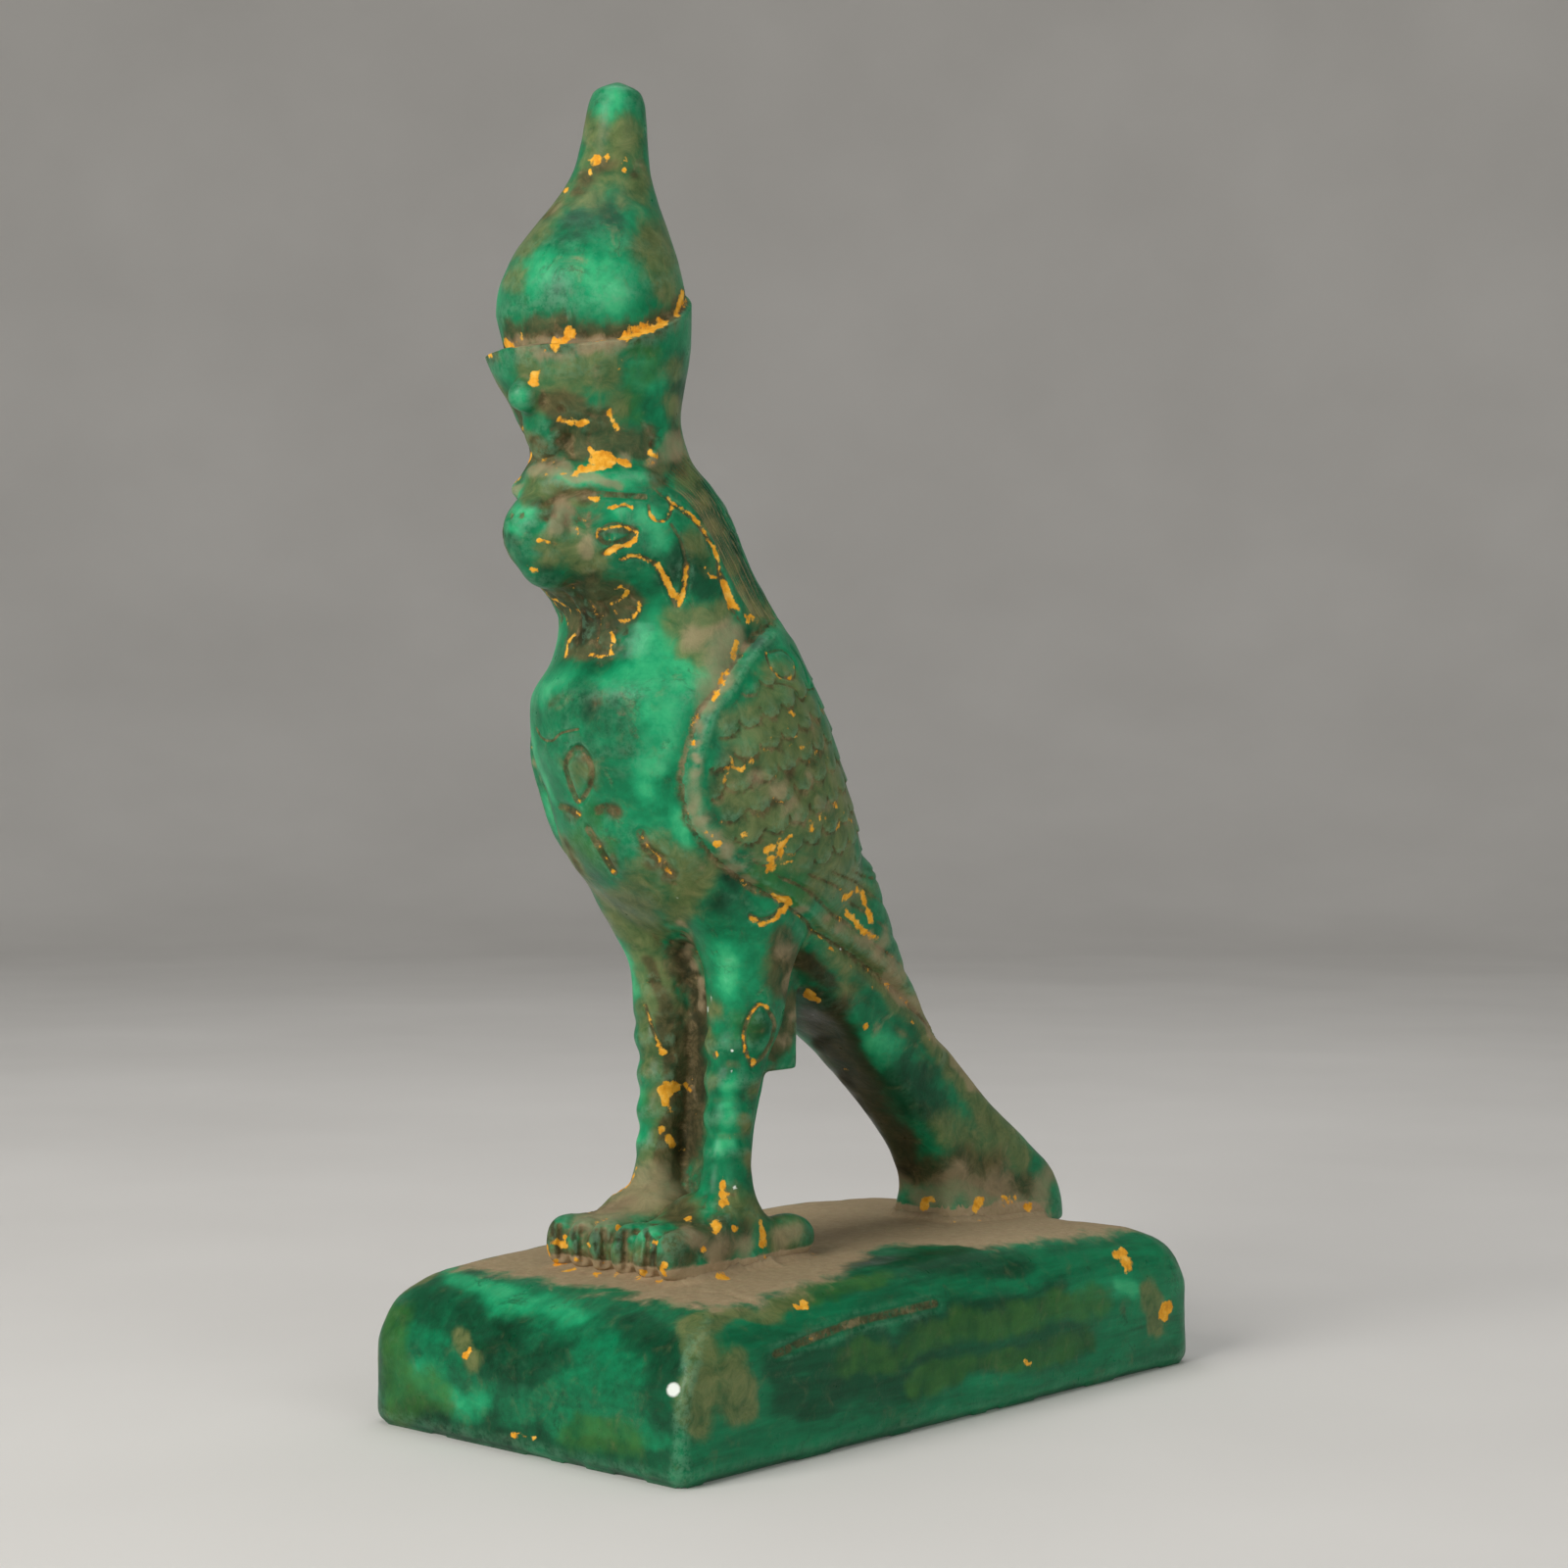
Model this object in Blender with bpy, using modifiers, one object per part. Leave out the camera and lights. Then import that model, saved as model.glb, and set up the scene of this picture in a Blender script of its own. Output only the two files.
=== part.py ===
"""Falcon deity statuette: a standing falcon in a tall double crown, cut with its plinth from one stone.

Metres, +Z up. The origin is the centre of the plinth's underside and the falcon faces -Y.
The plinth has real sizes of its own. The falcon is drawn in hundredths of its own height, measured from the
plinth's top (height), from the plinth's middle (forward is negative) and from the plane of symmetry (side).
"""
import math
from functools import partial

import bmesh
import bpy
import numpy as np
from mathutils import Vector
from mathutils.bvhtree import BVHTree

MM = 0.001

# Driving sizes
plinth_length = 92.4 * MM
plinth_width = 50.0 * MM
plinth_height = 18.0 * MM
plinth_end_rounding = 9.5 * MM
plinth_side_rounding = 6.0 * MM
plinth_corner_rounding = 4.0 * MM
plinth_crisp_corner_rounding = 0.9 * MM
plinth_foot_rounding = 2.0 * MM
plinth_level_reach = 18.0 * MM
plinth_front_droop = 1.7 * MM
plinth_back_droop = 1.3 * MM
plinth_droop_power = 1.5
plinth_slices = 12
falcon_height = 132.0 * MM
falcon_setback = 0.0 * MM
foot_sink = 2.6 * MM

# Fineness of the finished solid
voxel_size = 0.55 * MM
blending_passes = 8
falcon_triangles = 8700
ring_points = 56
ring_spacing = 1.0
foot_slice_spacing = 0.6
plinth_rounding_steps = 6

# Where the thighs leave the belly the skin is blended more than elsewhere
flank_blending_passes = 25
flank_heights = (24.0, 35.0)
flank_fade = 4.0

stone_color = (0.035, 0.26, 0.14, 1.0)
stone_roughness = 0.34
sharp_angle = math.radians(50.0)

UNIT = falcon_height / 100.0

# Body by height: height, front, back, half width, squareness of the front and of the back
body_stations = (
    (100.0, -23.2, -23.1, 0.05, 2.0, 2.0),
    (99.6, -24.8, -21.8, 1.4, 2.0, 2.0),
    (98.4, -25.6, -20.9, 2.3, 2.0, 2.0),
    (96.0, -26.1, -20.8, 2.65, 2.0, 2.0),
    (92.5, -27.0, -20.7, 3.1, 2.0, 2.0),
    (89.8, -28.6, -20.3, 4.2, 2.0, 2.0),
    (87.0, -31.0, -19.5, 5.7, 2.0, 2.0),
    (84.1, -33.1, -18.7, 7.1, 2.0, 2.0),
    (81.0, -34.0, -18.0, 7.9, 2.1, 2.0),
    (77.5, -34.0, -17.8, 8.1, 2.1, 2.0),
    (75.0, -34.0, -18.1, 7.8, 2.1, 2.0),
    (71.5, -32.6, -18.3, 6.6, 2.1, 2.0),
    (68.2, -30.8, -17.1, 6.3, 2.1, 2.0),
    (66.0, -32.6, -14.4, 7.1, 1.9, 2.0),
    (63.5, -33.0, -12.7, 8.0, 1.8, 2.0),
    (61.0, -33.4, -11.3, 8.4, 1.75, 2.0),
    (58.5, -31.8, -9.8, 8.6, 1.75, 2.0),
    (56.8, -28.6, -8.8, 8.8, 1.9, 2.0),
    (54.5, -26.7, -7.4, 9.1, 2.0, 2.1),
    (51.8, -26.9, -5.8, 10.1, 2.0, 2.1),
    (48.0, -29.0, -4.2, 11.5, 2.1, 2.2),
    (44.0, -28.6, -2.4, 12.1, 2.1, 2.2),
    (39.5, -26.8, -0.6, 12.2, 2.1, 2.2),
    (35.0, -25.2, 1.5, 11.5, 2.1, 2.2),
    (31.5, -22.2, 2.6, 10.0, 2.1, 2.2),
    (29.0, -18.8, 2.7, 7.8, 2.1, 2.2),
    (27.4, -16.0, 1.8, 5.4, 2.1, 2.2),
    (26.4, -13.5, 0.2, 3.0, 2.1, 2.2),
)

# Tail by height: height, front, back, half width. Its sections are nearly rectangular
tail_squareness = 5.0
tail_stations = (
    (34.0, -9.0, 1.0, 8.6),
    (29.0, -8.6, 4.2, 8.0),
    (25.5, -6.6, 7.0, 7.0),
    (22.0, -3.2, 9.9, 5.8),
    (18.3, 2.5, 14.1, 4.9),
    (14.4, 7.1, 19.0, 4.2),
    (10.4, 11.5, 23.9, 4.0),
    (6.2, 15.3, 30.0, 3.9),
    (2.6, 16.8, 34.2, 4.0),
    (0.6, 16.6, 34.6, 4.6),
    (-1.6, 16.0, 34.4, 5.0),
)

# Leg by height: height, front, back, inner side, outer side
leg_squareness = (2.0, 2.5)
leg_stations = (
    (37.0, -19.5, -3.0, 1.5, 9.0),
    (33.0, -20.9, -4.6, 1.0, 9.7),
    (31.0, -19.9, -5.6, 0.7, 9.5),
    (28.0, -17.9, -6.8, 0.8, 8.7),
    (24.5, -16.2, -8.0, 1.2, 7.7),
    (20.0, -15.8, -9.2, 1.5, 7.3),
    (17.2, -15.8, -10.4, 1.7, 6.6),
    (13.6, -16.0, -11.4, 2.0, 6.1),
    (9.0, -16.3, -12.0, 2.2, 5.8),
    (6.0, -17.0, -11.8, 2.0, 6.2),
    (3.4, -18.4, -10.8, 1.4, 7.4),
    (-1.6, -19.5, -9.8, 0.6, 8.2),
)

# Foot from its toes back: forward place, top, inner side, outer side
foot_squareness = (6.0, 3.0)
foot_stations = (
    (-22.9, 3.6, -0.4, 7.6),
    (-21.5, 4.0, -0.5, 8.0),
    (-19.0, 4.5, -0.5, 7.9),
    (-17.0, 5.9, -0.5, 7.6),
    (-14.5, 6.2, -0.2, 7.4),
    (-12.0, 4.6, 0.8, 7.4),
    (-10.0, 3.2, 2.2, 7.6),
)

# Web of stone between the legs, by height: height, front, back
web_stations = (
    (34.0, -15.0, -4.0),
    (16.0, -12.6, -7.0),
    (10.0, -12.8, -8.6),
    (-1.6, -14.5, -9.4),
)
web_half_width = 2.6
web_squareness = 6.0

# Flat-bottomed block under the belly, behind the legs: size and middle
block_size = (8.0, 7.2, 14.0)
block_middle = (0.0, -8.4, 22.8)

toes_per_foot = 3
toe_pitch = 2.62
toe_front = -24.9
toe_size = (1.27, 2.6, 2.3)
toe_middle_height = 1.75
toe_squareness = 2.8

spur_size = (1.9, 3.6, 2.2)
spur_middle = (5.9, -9.0, 1.6)

beak_size = (3.8, 5.0, 3.9)
beak_middle = (0.0, -30.3, 61.4)
beak_tip_size = (2.3, 3.0, 2.6)
beak_tip_middle = (0.0, -31.0, 59.4)

cobra_head_size = (1.3, 1.4, 1.3)
cobra_head_middle = (0.0, -33.9, 72.4)
cobra_hood_size = (2.1, 1.5, 3.1)
cobra_hood_middle = (0.0, -31.7, 70.6)

# Lower crown's rim: forward place and the height of its edge, which climbs to the back
rim_edge = (
    (-36.0, 76.9),
    (-33.0, 76.4),
    (-29.5, 76.9),
    (-26.0, 78.3),
    (-22.5, 80.0),
    (-19.5, 81.9),
    (-16.0, 83.5),
)
rim_lip = 1.0
rim_lip_reach = 4.5
rim_lip_behind = 0.05
rim_back = -16.0
rim_front = -34.0
rim_groove = 0.85
rim_groove_behind = 0.1
rim_groove_reach = 3.2
rim_sharpness = 0.35

# Brow band round the head: forward place and the height of its middle
brow_line = ((-36.0, 64.2), (-33.5, 64.5), (-31.0, 65.3), (-27.0, 65.9), (-24.0, 65.6))
brow_rise = 0.45
brow_reach = 1.1
brow_back = -26.0
brow_front = -32.5
brow_fade = 4.0

# Wing's front edge: height and forward place, from the shoulder down to the tail
wing_edge = (
    (56.0, -9.0),
    (53.1, -16.2),
    (49.7, -20.6),
    (46.4, -23.4),
    (42.4, -24.2),
    (38.4, -23.2),
    (35.1, -20.9),
    (33.1, -18.0),
    (31.3, -14.0),
    (28.1, -6.5),
    (23.2, 4.5),
    (19.0, 12.5),
    (14.0, 19.5),
    (6.0, 28.0),
)
wing_rise = 0.4
wing_blend = 0.75
wing_groove_reach = 1.5
wing_rim_rise = 0.12
wing_rim_reach = 0.8
wing_heights = (17.0, 54.0)
wing_fade = 3.0
feather_inset = 1.3
feather_fade = 0.5

# The spine between the wings is left plain: half its width and the fade to the feathers
spine_half_width = 2.0
spine_fade = 3.0

# Small feathers in rows on the wing, and long ones below them
scale_row = 2.3
scale_width = 2.4
scale_rise = 0.3
scale_slant = math.radians(20.0)
scale_ridge = 0.35
scale_heights = (34.0, 50.0)
scale_fade = 1.0
quill_pitch = 1.75
quill_depth = 0.16

# Collar of the head cloth behind the face: height and forward place
collar_edge = ((66.0, -27.5), (63.8, -24.6), (61.9, -21.8), (58.4, -20.0), (54.4, -18.0))
collar_rise = 0.16
collar_blend = 0.5
collar_heights = (54.4, 65.0)
collar_fade = 2.0
strand_pitch = 1.25
strand_depth = 0.1

# Creases across the front of the legs
shin_heights = (9.0, 20.5)
shin_fade = 2.0
shin_back = -12.0
shin_inner_side = 2.0
shin_pitch = 3.1
shin_depth = 0.16

# Outline of the eye, as forward and height pairs
eye_line = (
    (-30.5, 61.0),
    (-29.4, 62.1),
    (-28.0, 61.9),
    (-27.4, 61.2),
    (-28.4, 60.5),
    (-29.6, 60.3),
    (-30.5, 61.0),
)

# Marks cut on both sides: half width, depth and the line as forward and height pairs
side_marks = (
    (0.45, 0.35, eye_line),
    (0.4, 0.3, ((-30.2, 59.6), (-28.9, 59.9), (-27.8, 60.6), (-27.2, 61.2))),
    (0.35, 0.2, ((-30.3, 63.3), (-29.2, 63.6), (-28.0, 63.3))),
    (0.5, 0.4, ((-29.2, 59.1), (-27.2, 59.3), (-25.8, 58.7), (-24.7, 57.4), (-23.7, 55.6))),
    (0.5, 0.4, ((-23.6, 55.6), (-23.1, 57.0), (-23.0, 58.8))),
    (0.35, 0.25, ((-26.6, 64.6), (-26.8, 63.2), (-25.7, 62.4), (-24.7, 63.2), (-24.9, 64.6))),
    (0.45, 0.3, ((-13.8, 22.6), (-14.9, 19.8), (-13.0, 16.5), (-11.6, 19.4), (-13.8, 22.6))),
    (0.4, 0.3, ((-16.2, 29.6), (-15.0, 29.2), (-14.0, 29.9), (-13.7, 31.3))),
)

# Worn marks down the breast, which are no letters: half width, depth, and side and height pairs
breast_marks = (
    (0.4, 0.3, ((0.2, 43.6), (-1.2, 41.6), (0.2, 39.5), (1.4, 41.6), (0.2, 43.6))),
    (0.4, 0.25, ((-2.4, 38.9), (-1.2, 38.2))),
    (0.4, 0.25, ((1.6, 38.9), (2.8, 38.2))),
    (0.4, 0.3, ((-0.6, 36.7), (0.5, 33.2))),
    (0.5, 0.35, ((3.2, 35.9), (4.3, 33.6))),
)

# Hollows rubbed into both sides: middle as forward and height, reach along each, depth
side_hollows = (
    ((-31.2, 62.4), (2.4, 1.9), 0.6),
    ((-27.0, 54.6), (3.6, 2.6), 0.45),
)
hollow_inner_side = 0.8

# Farther out than any point of the falcon, for looking at its skin from the front or the side
outside = 60.0


def steady_slopes(places, values):
    """Slopes at the stations for a curve that never overshoots between them."""
    gaps = np.diff(places)
    rises = np.diff(values, axis=0) / gaps[:, None]
    slopes = np.zeros_like(values)
    slopes[0] = rises[0]
    slopes[-1] = rises[-1]
    before, after = rises[:-1], rises[1:]
    same_way = before * after > 0
    total = np.where(same_way, before + after, 1.0)
    slopes[1:-1] = np.where(same_way, 2.0 * before * after / total, 0.0)
    return slopes


def follow(stations, place):
    """Values between the stations at one place, along a smooth curve."""
    table = np.array(sorted(stations))
    places, values = table[:, 0], table[:, 1:]
    slopes = steady_slopes(places, values)
    step = int(np.clip(np.searchsorted(places, place) - 1, 0, len(places) - 2))
    gap = places[step + 1] - places[step]
    t = (place - places[step]) / gap
    start = (2 * t**3 - 3 * t**2 + 1) * values[step] + (t**3 - 2 * t**2 + t) * gap * slopes[step]
    end = (3 * t**2 - 2 * t**3) * values[step + 1] + (t**3 - t**2) * gap * slopes[step + 1]
    return start + end


def rounded_ring(side_middle, forward_middle, half_side, half_forward, square_front, square_back):
    """A closed oval in plan, squarer where its number is over 2, as side and forward pairs."""
    ring = []
    for step in range(ring_points):
        angle = 2.0 * math.pi * step / ring_points
        across, along = math.cos(angle), math.sin(angle)
        power = 2.0 / (square_front if along < 0 else square_back)
        side = side_middle + half_side * math.copysign(abs(across) ** power, across)
        forward = forward_middle + half_forward * math.copysign(abs(along) ** power, along)
        ring.append((side, forward))
    return ring


def mesh_object(name, shape, collection):
    """A new object in the collection from a bmesh, which is freed."""
    mesh = bpy.data.meshes.new(name)
    bmesh.ops.recalc_face_normals(shape, faces=shape.faces)
    shape.to_mesh(mesh)
    shape.free()
    thing = bpy.data.objects.new(name, mesh)
    collection.objects.link(thing)
    return thing


def loft(name, rings, collection):
    """A closed solid through rings of points that lie one above the other."""
    shape = bmesh.new()
    loops = [[shape.verts.new(point) for point in ring] for ring in rings]
    count = len(loops[0])
    for lower, upper in zip(loops, loops[1:]):
        for step in range(count):
            following = (step + 1) % count
            shape.faces.new((lower[step], lower[following], upper[following], upper[step]))
    shape.faces.new(loops[0])
    shape.faces.new(loops[-1])
    return mesh_object(name, shape, collection)


def place_on_plinth(side, forward, height):
    """A point of the falcon in metres, from hundredths of its height."""
    return Vector((side * UNIT, forward * UNIT + falcon_setback, height * UNIT + plinth_height))


def places_between(stations, spacing):
    """Evenly spaced places from the stations' first to their last."""
    places = [row[0] for row in stations]
    count = int(math.ceil((max(places) - min(places)) / spacing))
    return np.linspace(min(places), max(places), count + 1)


def upright_loft(name, stations, read_row, collection):
    """A loft with one flat ring at each height; read_row gives the ring's oval from the stations' values."""
    rings = []
    for height in places_between(stations, ring_spacing):
        oval = rounded_ring(*read_row(*follow(stations, height)))
        rings.append([place_on_plinth(side, forward, height) for side, forward in oval])
    return loft(name, rings, collection)


def body_row(front, back, half_width, square_front, square_back):
    return 0.0, (front + back) / 2, half_width, (back - front) / 2, square_front, square_back


def tail_row(front, back, half_width):
    return 0.0, (front + back) / 2, half_width, (back - front) / 2, tail_squareness, tail_squareness


def web_row(front, back):
    return 0.0, (front + back) / 2, web_half_width, (back - front) / 2, web_squareness, web_squareness


def leg_row(hand, front, back, inner, outer):
    middle, half_width = hand * (inner + outer) / 2, (outer - inner) / 2
    return middle, (front + back) / 2, half_width, (back - front) / 2, *leg_squareness


def foot_solid(name, hand, collection):
    """A foot as upright slices from the toes back, flat below and rounded above."""
    rings = []
    sink = foot_sink / UNIT
    for forward in places_between(foot_stations, foot_slice_spacing):
        top, inner, outer = follow(foot_stations, forward)
        middle, half = (inner + outer) / 2, (outer - inner) / 2
        oval = rounded_ring(middle, (top - sink) / 2, half, (top + sink) / 2, *foot_squareness)
        rings.append([place_on_plinth(hand * side, forward, height) for side, height in oval])
    return loft(name, rings, collection)


def egg(name, middle, size, collection, squareness=2.0):
    """A ball with a radius of its own along each axis, boxier where its squareness is over 2."""
    shape = bmesh.new()
    bmesh.ops.create_uvsphere(shape, u_segments=24, v_segments=16, radius=1.0)
    radii = Vector(size) * UNIT
    centre = place_on_plinth(*middle)
    for vert in shape.verts:
        swell = sum(abs(part) ** squareness for part in vert.co) ** (-1.0 / squareness)
        vert.co = Vector([part * swell * radius for part, radius in zip(vert.co, radii)]) + centre
    return mesh_object(name, shape, collection)


def block_solid(name, middle, size, collection):
    """A plain box."""
    shape = bmesh.new()
    bmesh.ops.create_cube(shape, size=1.0)
    centre = place_on_plinth(*middle)
    for vert in shape.verts:
        vert.co = Vector([a * b * UNIT for a, b in zip(vert.co, size)]) + centre
    return mesh_object(name, shape, collection)


def falcon_masses(collection):
    """The rough masses of the falcon, which overlap where they are joined."""
    masses = [
        upright_loft("body", body_stations, body_row, collection),
        upright_loft("tail", tail_stations, tail_row, collection),
        upright_loft("web", web_stations, web_row, collection),
        block_solid("block", block_middle, block_size, collection),
        egg("beak", beak_middle, beak_size, collection),
        egg("beak_tip", beak_tip_middle, beak_tip_size, collection),
        egg("cobra_head", cobra_head_middle, cobra_head_size, collection),
        egg("cobra_hood", cobra_hood_middle, cobra_hood_size, collection),
    ]
    for hand in (1, -1):
        masses.append(upright_loft("leg", leg_stations, partial(leg_row, hand), collection))
        masses.append(foot_solid("foot", hand, collection))
        side, forward, height = spur_middle
        masses.append(egg("spur", (hand * side, forward, height), spur_size, collection))
        for toe in range(toes_per_foot):
            place = (hand * toe_pitch * (toe + 0.5), toe_front + toe_size[1], toe_middle_height)
            masses.append(egg("toe", place, toe_size, collection, toe_squareness))
    return masses


def settle(thing):
    """Give the object its evaluated mesh and drop its modifiers."""
    bpy.context.view_layer.update()
    depsgraph = bpy.context.evaluated_depsgraph_get()
    finished = bpy.data.meshes.new_from_object(thing.evaluated_get(depsgraph))
    thing.modifiers.clear()
    rough = thing.data
    thing.data = finished
    bpy.data.meshes.remove(rough)


def joined(name, things, collection):
    """One object from several, which are removed."""
    shape = bmesh.new()
    for thing in things:
        shape.from_mesh(thing.data)
        mesh = thing.data
        bpy.data.objects.remove(thing)
        bpy.data.meshes.remove(mesh)
    mesh = bpy.data.meshes.new(name)
    shape.to_mesh(mesh)
    shape.free()
    thing = bpy.data.objects.new(name, mesh)
    collection.objects.link(thing)
    return thing


def soften(thing, passes, group_name=""):
    """Even out the skin, all over or only as far as a vertex group weighs it."""
    smoothing = thing.modifiers.new("soften", "SMOOTH")
    smoothing.factor = 0.5
    smoothing.iterations = passes
    smoothing.vertex_group = group_name
    settle(thing)


def blend(thing):
    """Fuse the masses into one skin and soften where they meet."""
    remesh = thing.modifiers.new("fuse", "REMESH")
    remesh.mode = "VOXEL"
    remesh.voxel_size = voxel_size
    settle(thing)
    soften(thing, blending_passes)
    heights = falcon_measure(vertex_places(thing.data))[:, 2]
    flank = thing.vertex_groups.new(name="flank")
    for index, weight in enumerate(within(heights, flank_heights, flank_fade)):
        flank.add([index], float(weight), "REPLACE")
    soften(thing, flank_blending_passes, flank.name)


def vertex_places(mesh):
    """The mesh's vertices in metres, one to a row."""
    places = np.empty(len(mesh.vertices) * 3)
    mesh.vertices.foreach_get("co", places)
    return places.reshape(-1, 3)


def smooth_step(value):
    """0 below nought and 1 above one, with a soft bend between."""
    inside = np.clip(value, 0.0, 1.0)
    return inside * inside * (3.0 - 2.0 * inside)


def bump(distance, reach):
    """1 at no distance, falling softly to 0 at the reach."""
    return 0.5 + 0.5 * np.cos(math.pi * np.clip(np.abs(distance) / reach, 0.0, 1.0))


def within(value, limits, fade):
    """1 between the limits and 0 past them, over a fade that is centred on each limit."""
    low, high = limits
    return smooth_step((value - low) / fade + 0.5) * smooth_step((high - value) / fade + 0.5)


def past_edge(stations, place, value):
    """How far each point lies past a curved edge, measured square to the edge."""
    first, last = min(stations)[0], max(stations)[0]
    samples = np.linspace(first, last, 200)
    edge = np.array([follow(stations, sample)[0] for sample in samples])
    slope = np.gradient(edge, samples)
    here = np.interp(place, samples, edge)
    tilt = np.interp(place, samples, slope)
    return (value - here) / np.sqrt(1.0 + tilt * tilt)


def line_distance(points, line):
    """Each point's distance to a line of straight pieces."""
    nearest = np.full(len(points), np.inf)
    for start, end in zip(line, line[1:]):
        along = end - start
        share = np.clip((points - start) @ along / (along @ along), 0.0, 1.0)
        gap = points - (start + share[:, None] * along)
        nearest = np.minimum(nearest, np.sqrt((gap * gap).sum(axis=1)))
    return nearest


def fine_line(corners, pieces=5):
    """A curve through the corners, as many short straight pieces."""
    corners = np.array(corners, dtype=float)
    closed = np.allclose(corners[0], corners[-1])
    before = corners[-2] if closed else 2 * corners[0] - corners[1]
    after = corners[1] if closed else 2 * corners[-1] - corners[-2]
    padded = np.vstack([before, corners, after])
    line = []
    for a, b, c, d in zip(padded, padded[1:], padded[2:], padded[3:]):
        bend = 2 * a - 5 * b + 4 * c - d
        twist = 3 * b - a - 3 * c + d
        for t in np.arange(pieces) / pieces:
            line.append(b + 0.5 * ((c - a) * t + bend * t**2 + twist * t**3))
    line.append(corners[-1])
    return line


def seen_from_front(side, height):
    """Start and direction of a look at the breast."""
    return place_on_plinth(side, -outside, height), Vector((0, 1, 0))


def seen_from_side(hand, forward, height):
    """Start and direction of a look at one side."""
    return place_on_plinth(hand * outside, forward, height), Vector((-hand, 0, 0))


def drape(tree, line, look):
    """The line laid on the skin as it is looked at, in hundredths of the falcon's height."""
    laid = []
    for first, second in line:
        hit = tree.ray_cast(*look(first, second))[0]
        if hit is not None:
            laid.append(falcon_measure(np.array([hit]))[0])
    return np.array(laid)


def falcon_measure(points):
    """Side, forward and height in hundredths of the falcon's height, from points in metres."""
    return (points - np.array([0.0, falcon_setback, plinth_height])) / UNIT


def cut_lines(tree, points):
    """How deep the lines of the side and breast marks cut each point."""
    depth = np.zeros(len(points))
    looks = [(breast_marks, seen_from_front)]
    for hand in (1, -1):
        looks.append((side_marks, partial(seen_from_side, hand)))
    for marks, look in looks:
        for reach, deepest, corners in marks:
            line = drape(tree, fine_line(corners), look)
            near = ((points > line.min(axis=0) - reach) & (points < line.max(axis=0) + reach)).all(axis=1)
            cut = deepest * bump(line_distance(points[near], line), reach)
            depth[near] = np.maximum(depth[near], cut)
    return depth


def crown_relief(points):
    """Lip and groove where the lower crown ends, both strongest in front."""
    _, forward, height = points.T
    above = past_edge(rim_edge, forward, height)
    frontness = smooth_step((rim_back - forward) / (rim_back - rim_front))
    lip_rise = rim_lip_behind + (rim_lip - rim_lip_behind) * frontness
    lip = lip_rise * np.clip(1.0 + above / rim_lip_reach, 0.0, 1.0) ** 2
    groove_depth = rim_groove_behind + (rim_groove - rim_groove_behind) * frontness
    groove = -groove_depth * np.clip(1.0 - above / rim_groove_reach, 0.0, 1.0)
    upper = smooth_step(above / rim_sharpness + 0.5)
    return lip * (1.0 - upper) + groove * upper


def brow_relief(points):
    """The raised band over the eyes."""
    _, forward, height = points.T
    off = past_edge(brow_line, forward, height)
    return brow_rise * bump(off, brow_reach) * within(forward, (brow_front, brow_back), brow_fade)


def scale_relief(forward, height):
    """Overlapping round feathers in staggered rows."""
    down = forward * math.sin(scale_slant) - height * math.cos(scale_slant)
    across = forward * math.cos(scale_slant) + height * math.sin(scale_slant)
    row = np.floor(down / scale_row)
    into = down - row * scale_row
    radius = scale_width / 2
    own_middle = feather_middle(across, row)
    upper_middle = feather_middle(across, row - 1)
    under_upper = np.hypot(across - upper_middle, into) < radius
    share = np.where(under_upper, into + scale_row, into) / (scale_row + radius)
    off_middle = np.abs(across - np.where(under_upper, upper_middle, own_middle)) / radius
    return scale_rise * (share * (1.0 - scale_ridge * off_middle) - 0.5)


def feather_middle(across, row):
    """Middle of the feather that each point falls on; every second row is staggered by half a feather."""
    stagger = 0.5 * (row % 2)
    return (np.floor(across / scale_width - stagger) + 0.5 + stagger) * scale_width


def wing_relief(points):
    """The folded wing: raised past its edge, with a thicker rim, small feathers above and quills below."""
    side, forward, height = points.T
    inside = past_edge(wing_edge, height, forward)
    relief = wing_rise * smooth_step(inside / wing_blend)
    relief -= wing_rise * bump(inside, wing_groove_reach) * (inside < 0)
    relief += wing_rim_rise * bump(inside - wing_rim_reach, wing_rim_reach)
    feathered = smooth_step((inside - feather_inset) / feather_fade)
    feathered *= smooth_step((np.abs(side) - spine_half_width) / spine_fade)
    relief += feathered * within(height, scale_heights, scale_fade) * scale_relief(forward, height)
    quills = -quill_depth * (0.5 + 0.5 * np.cos(2 * math.pi * inside / quill_pitch)) ** 3
    relief += feathered * smooth_step((scale_heights[0] - height) / scale_fade) * quills
    return relief * within(height, wing_heights, wing_fade)


def collar_relief(points):
    """Edge of the head cloth with fine strands behind it."""
    _, forward, height = points.T
    behind = past_edge(collar_edge, height, forward)
    strands = -strand_depth * (0.5 + 0.5 * np.cos(2 * math.pi * behind / strand_pitch)) ** 2
    relief = collar_rise * smooth_step(behind / collar_blend) + strands * (behind > 0)
    return relief * within(height, collar_heights, collar_fade)


def shin_relief(points):
    """Creases across the front of the legs."""
    side, forward, height = points.T
    on_front = smooth_step(shin_back - forward) * (np.abs(side) > shin_inner_side)
    creases = shin_depth * np.cos(2 * math.pi * height / shin_pitch)
    return creases * on_front * within(height, shin_heights, shin_fade)


def hollow_relief(points):
    """Rubbed hollows before the eye and under the throat."""
    side, forward, height = points.T
    relief = np.zeros(len(points))
    for (forward_middle, height_middle), (forward_reach, height_reach), depth in side_hollows:
        away = np.hypot((forward - forward_middle) / forward_reach, (height - height_middle) / height_reach)
        relief -= depth * bump(away, 1.0) * (np.abs(side) > hollow_inner_side)
    return relief


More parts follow.
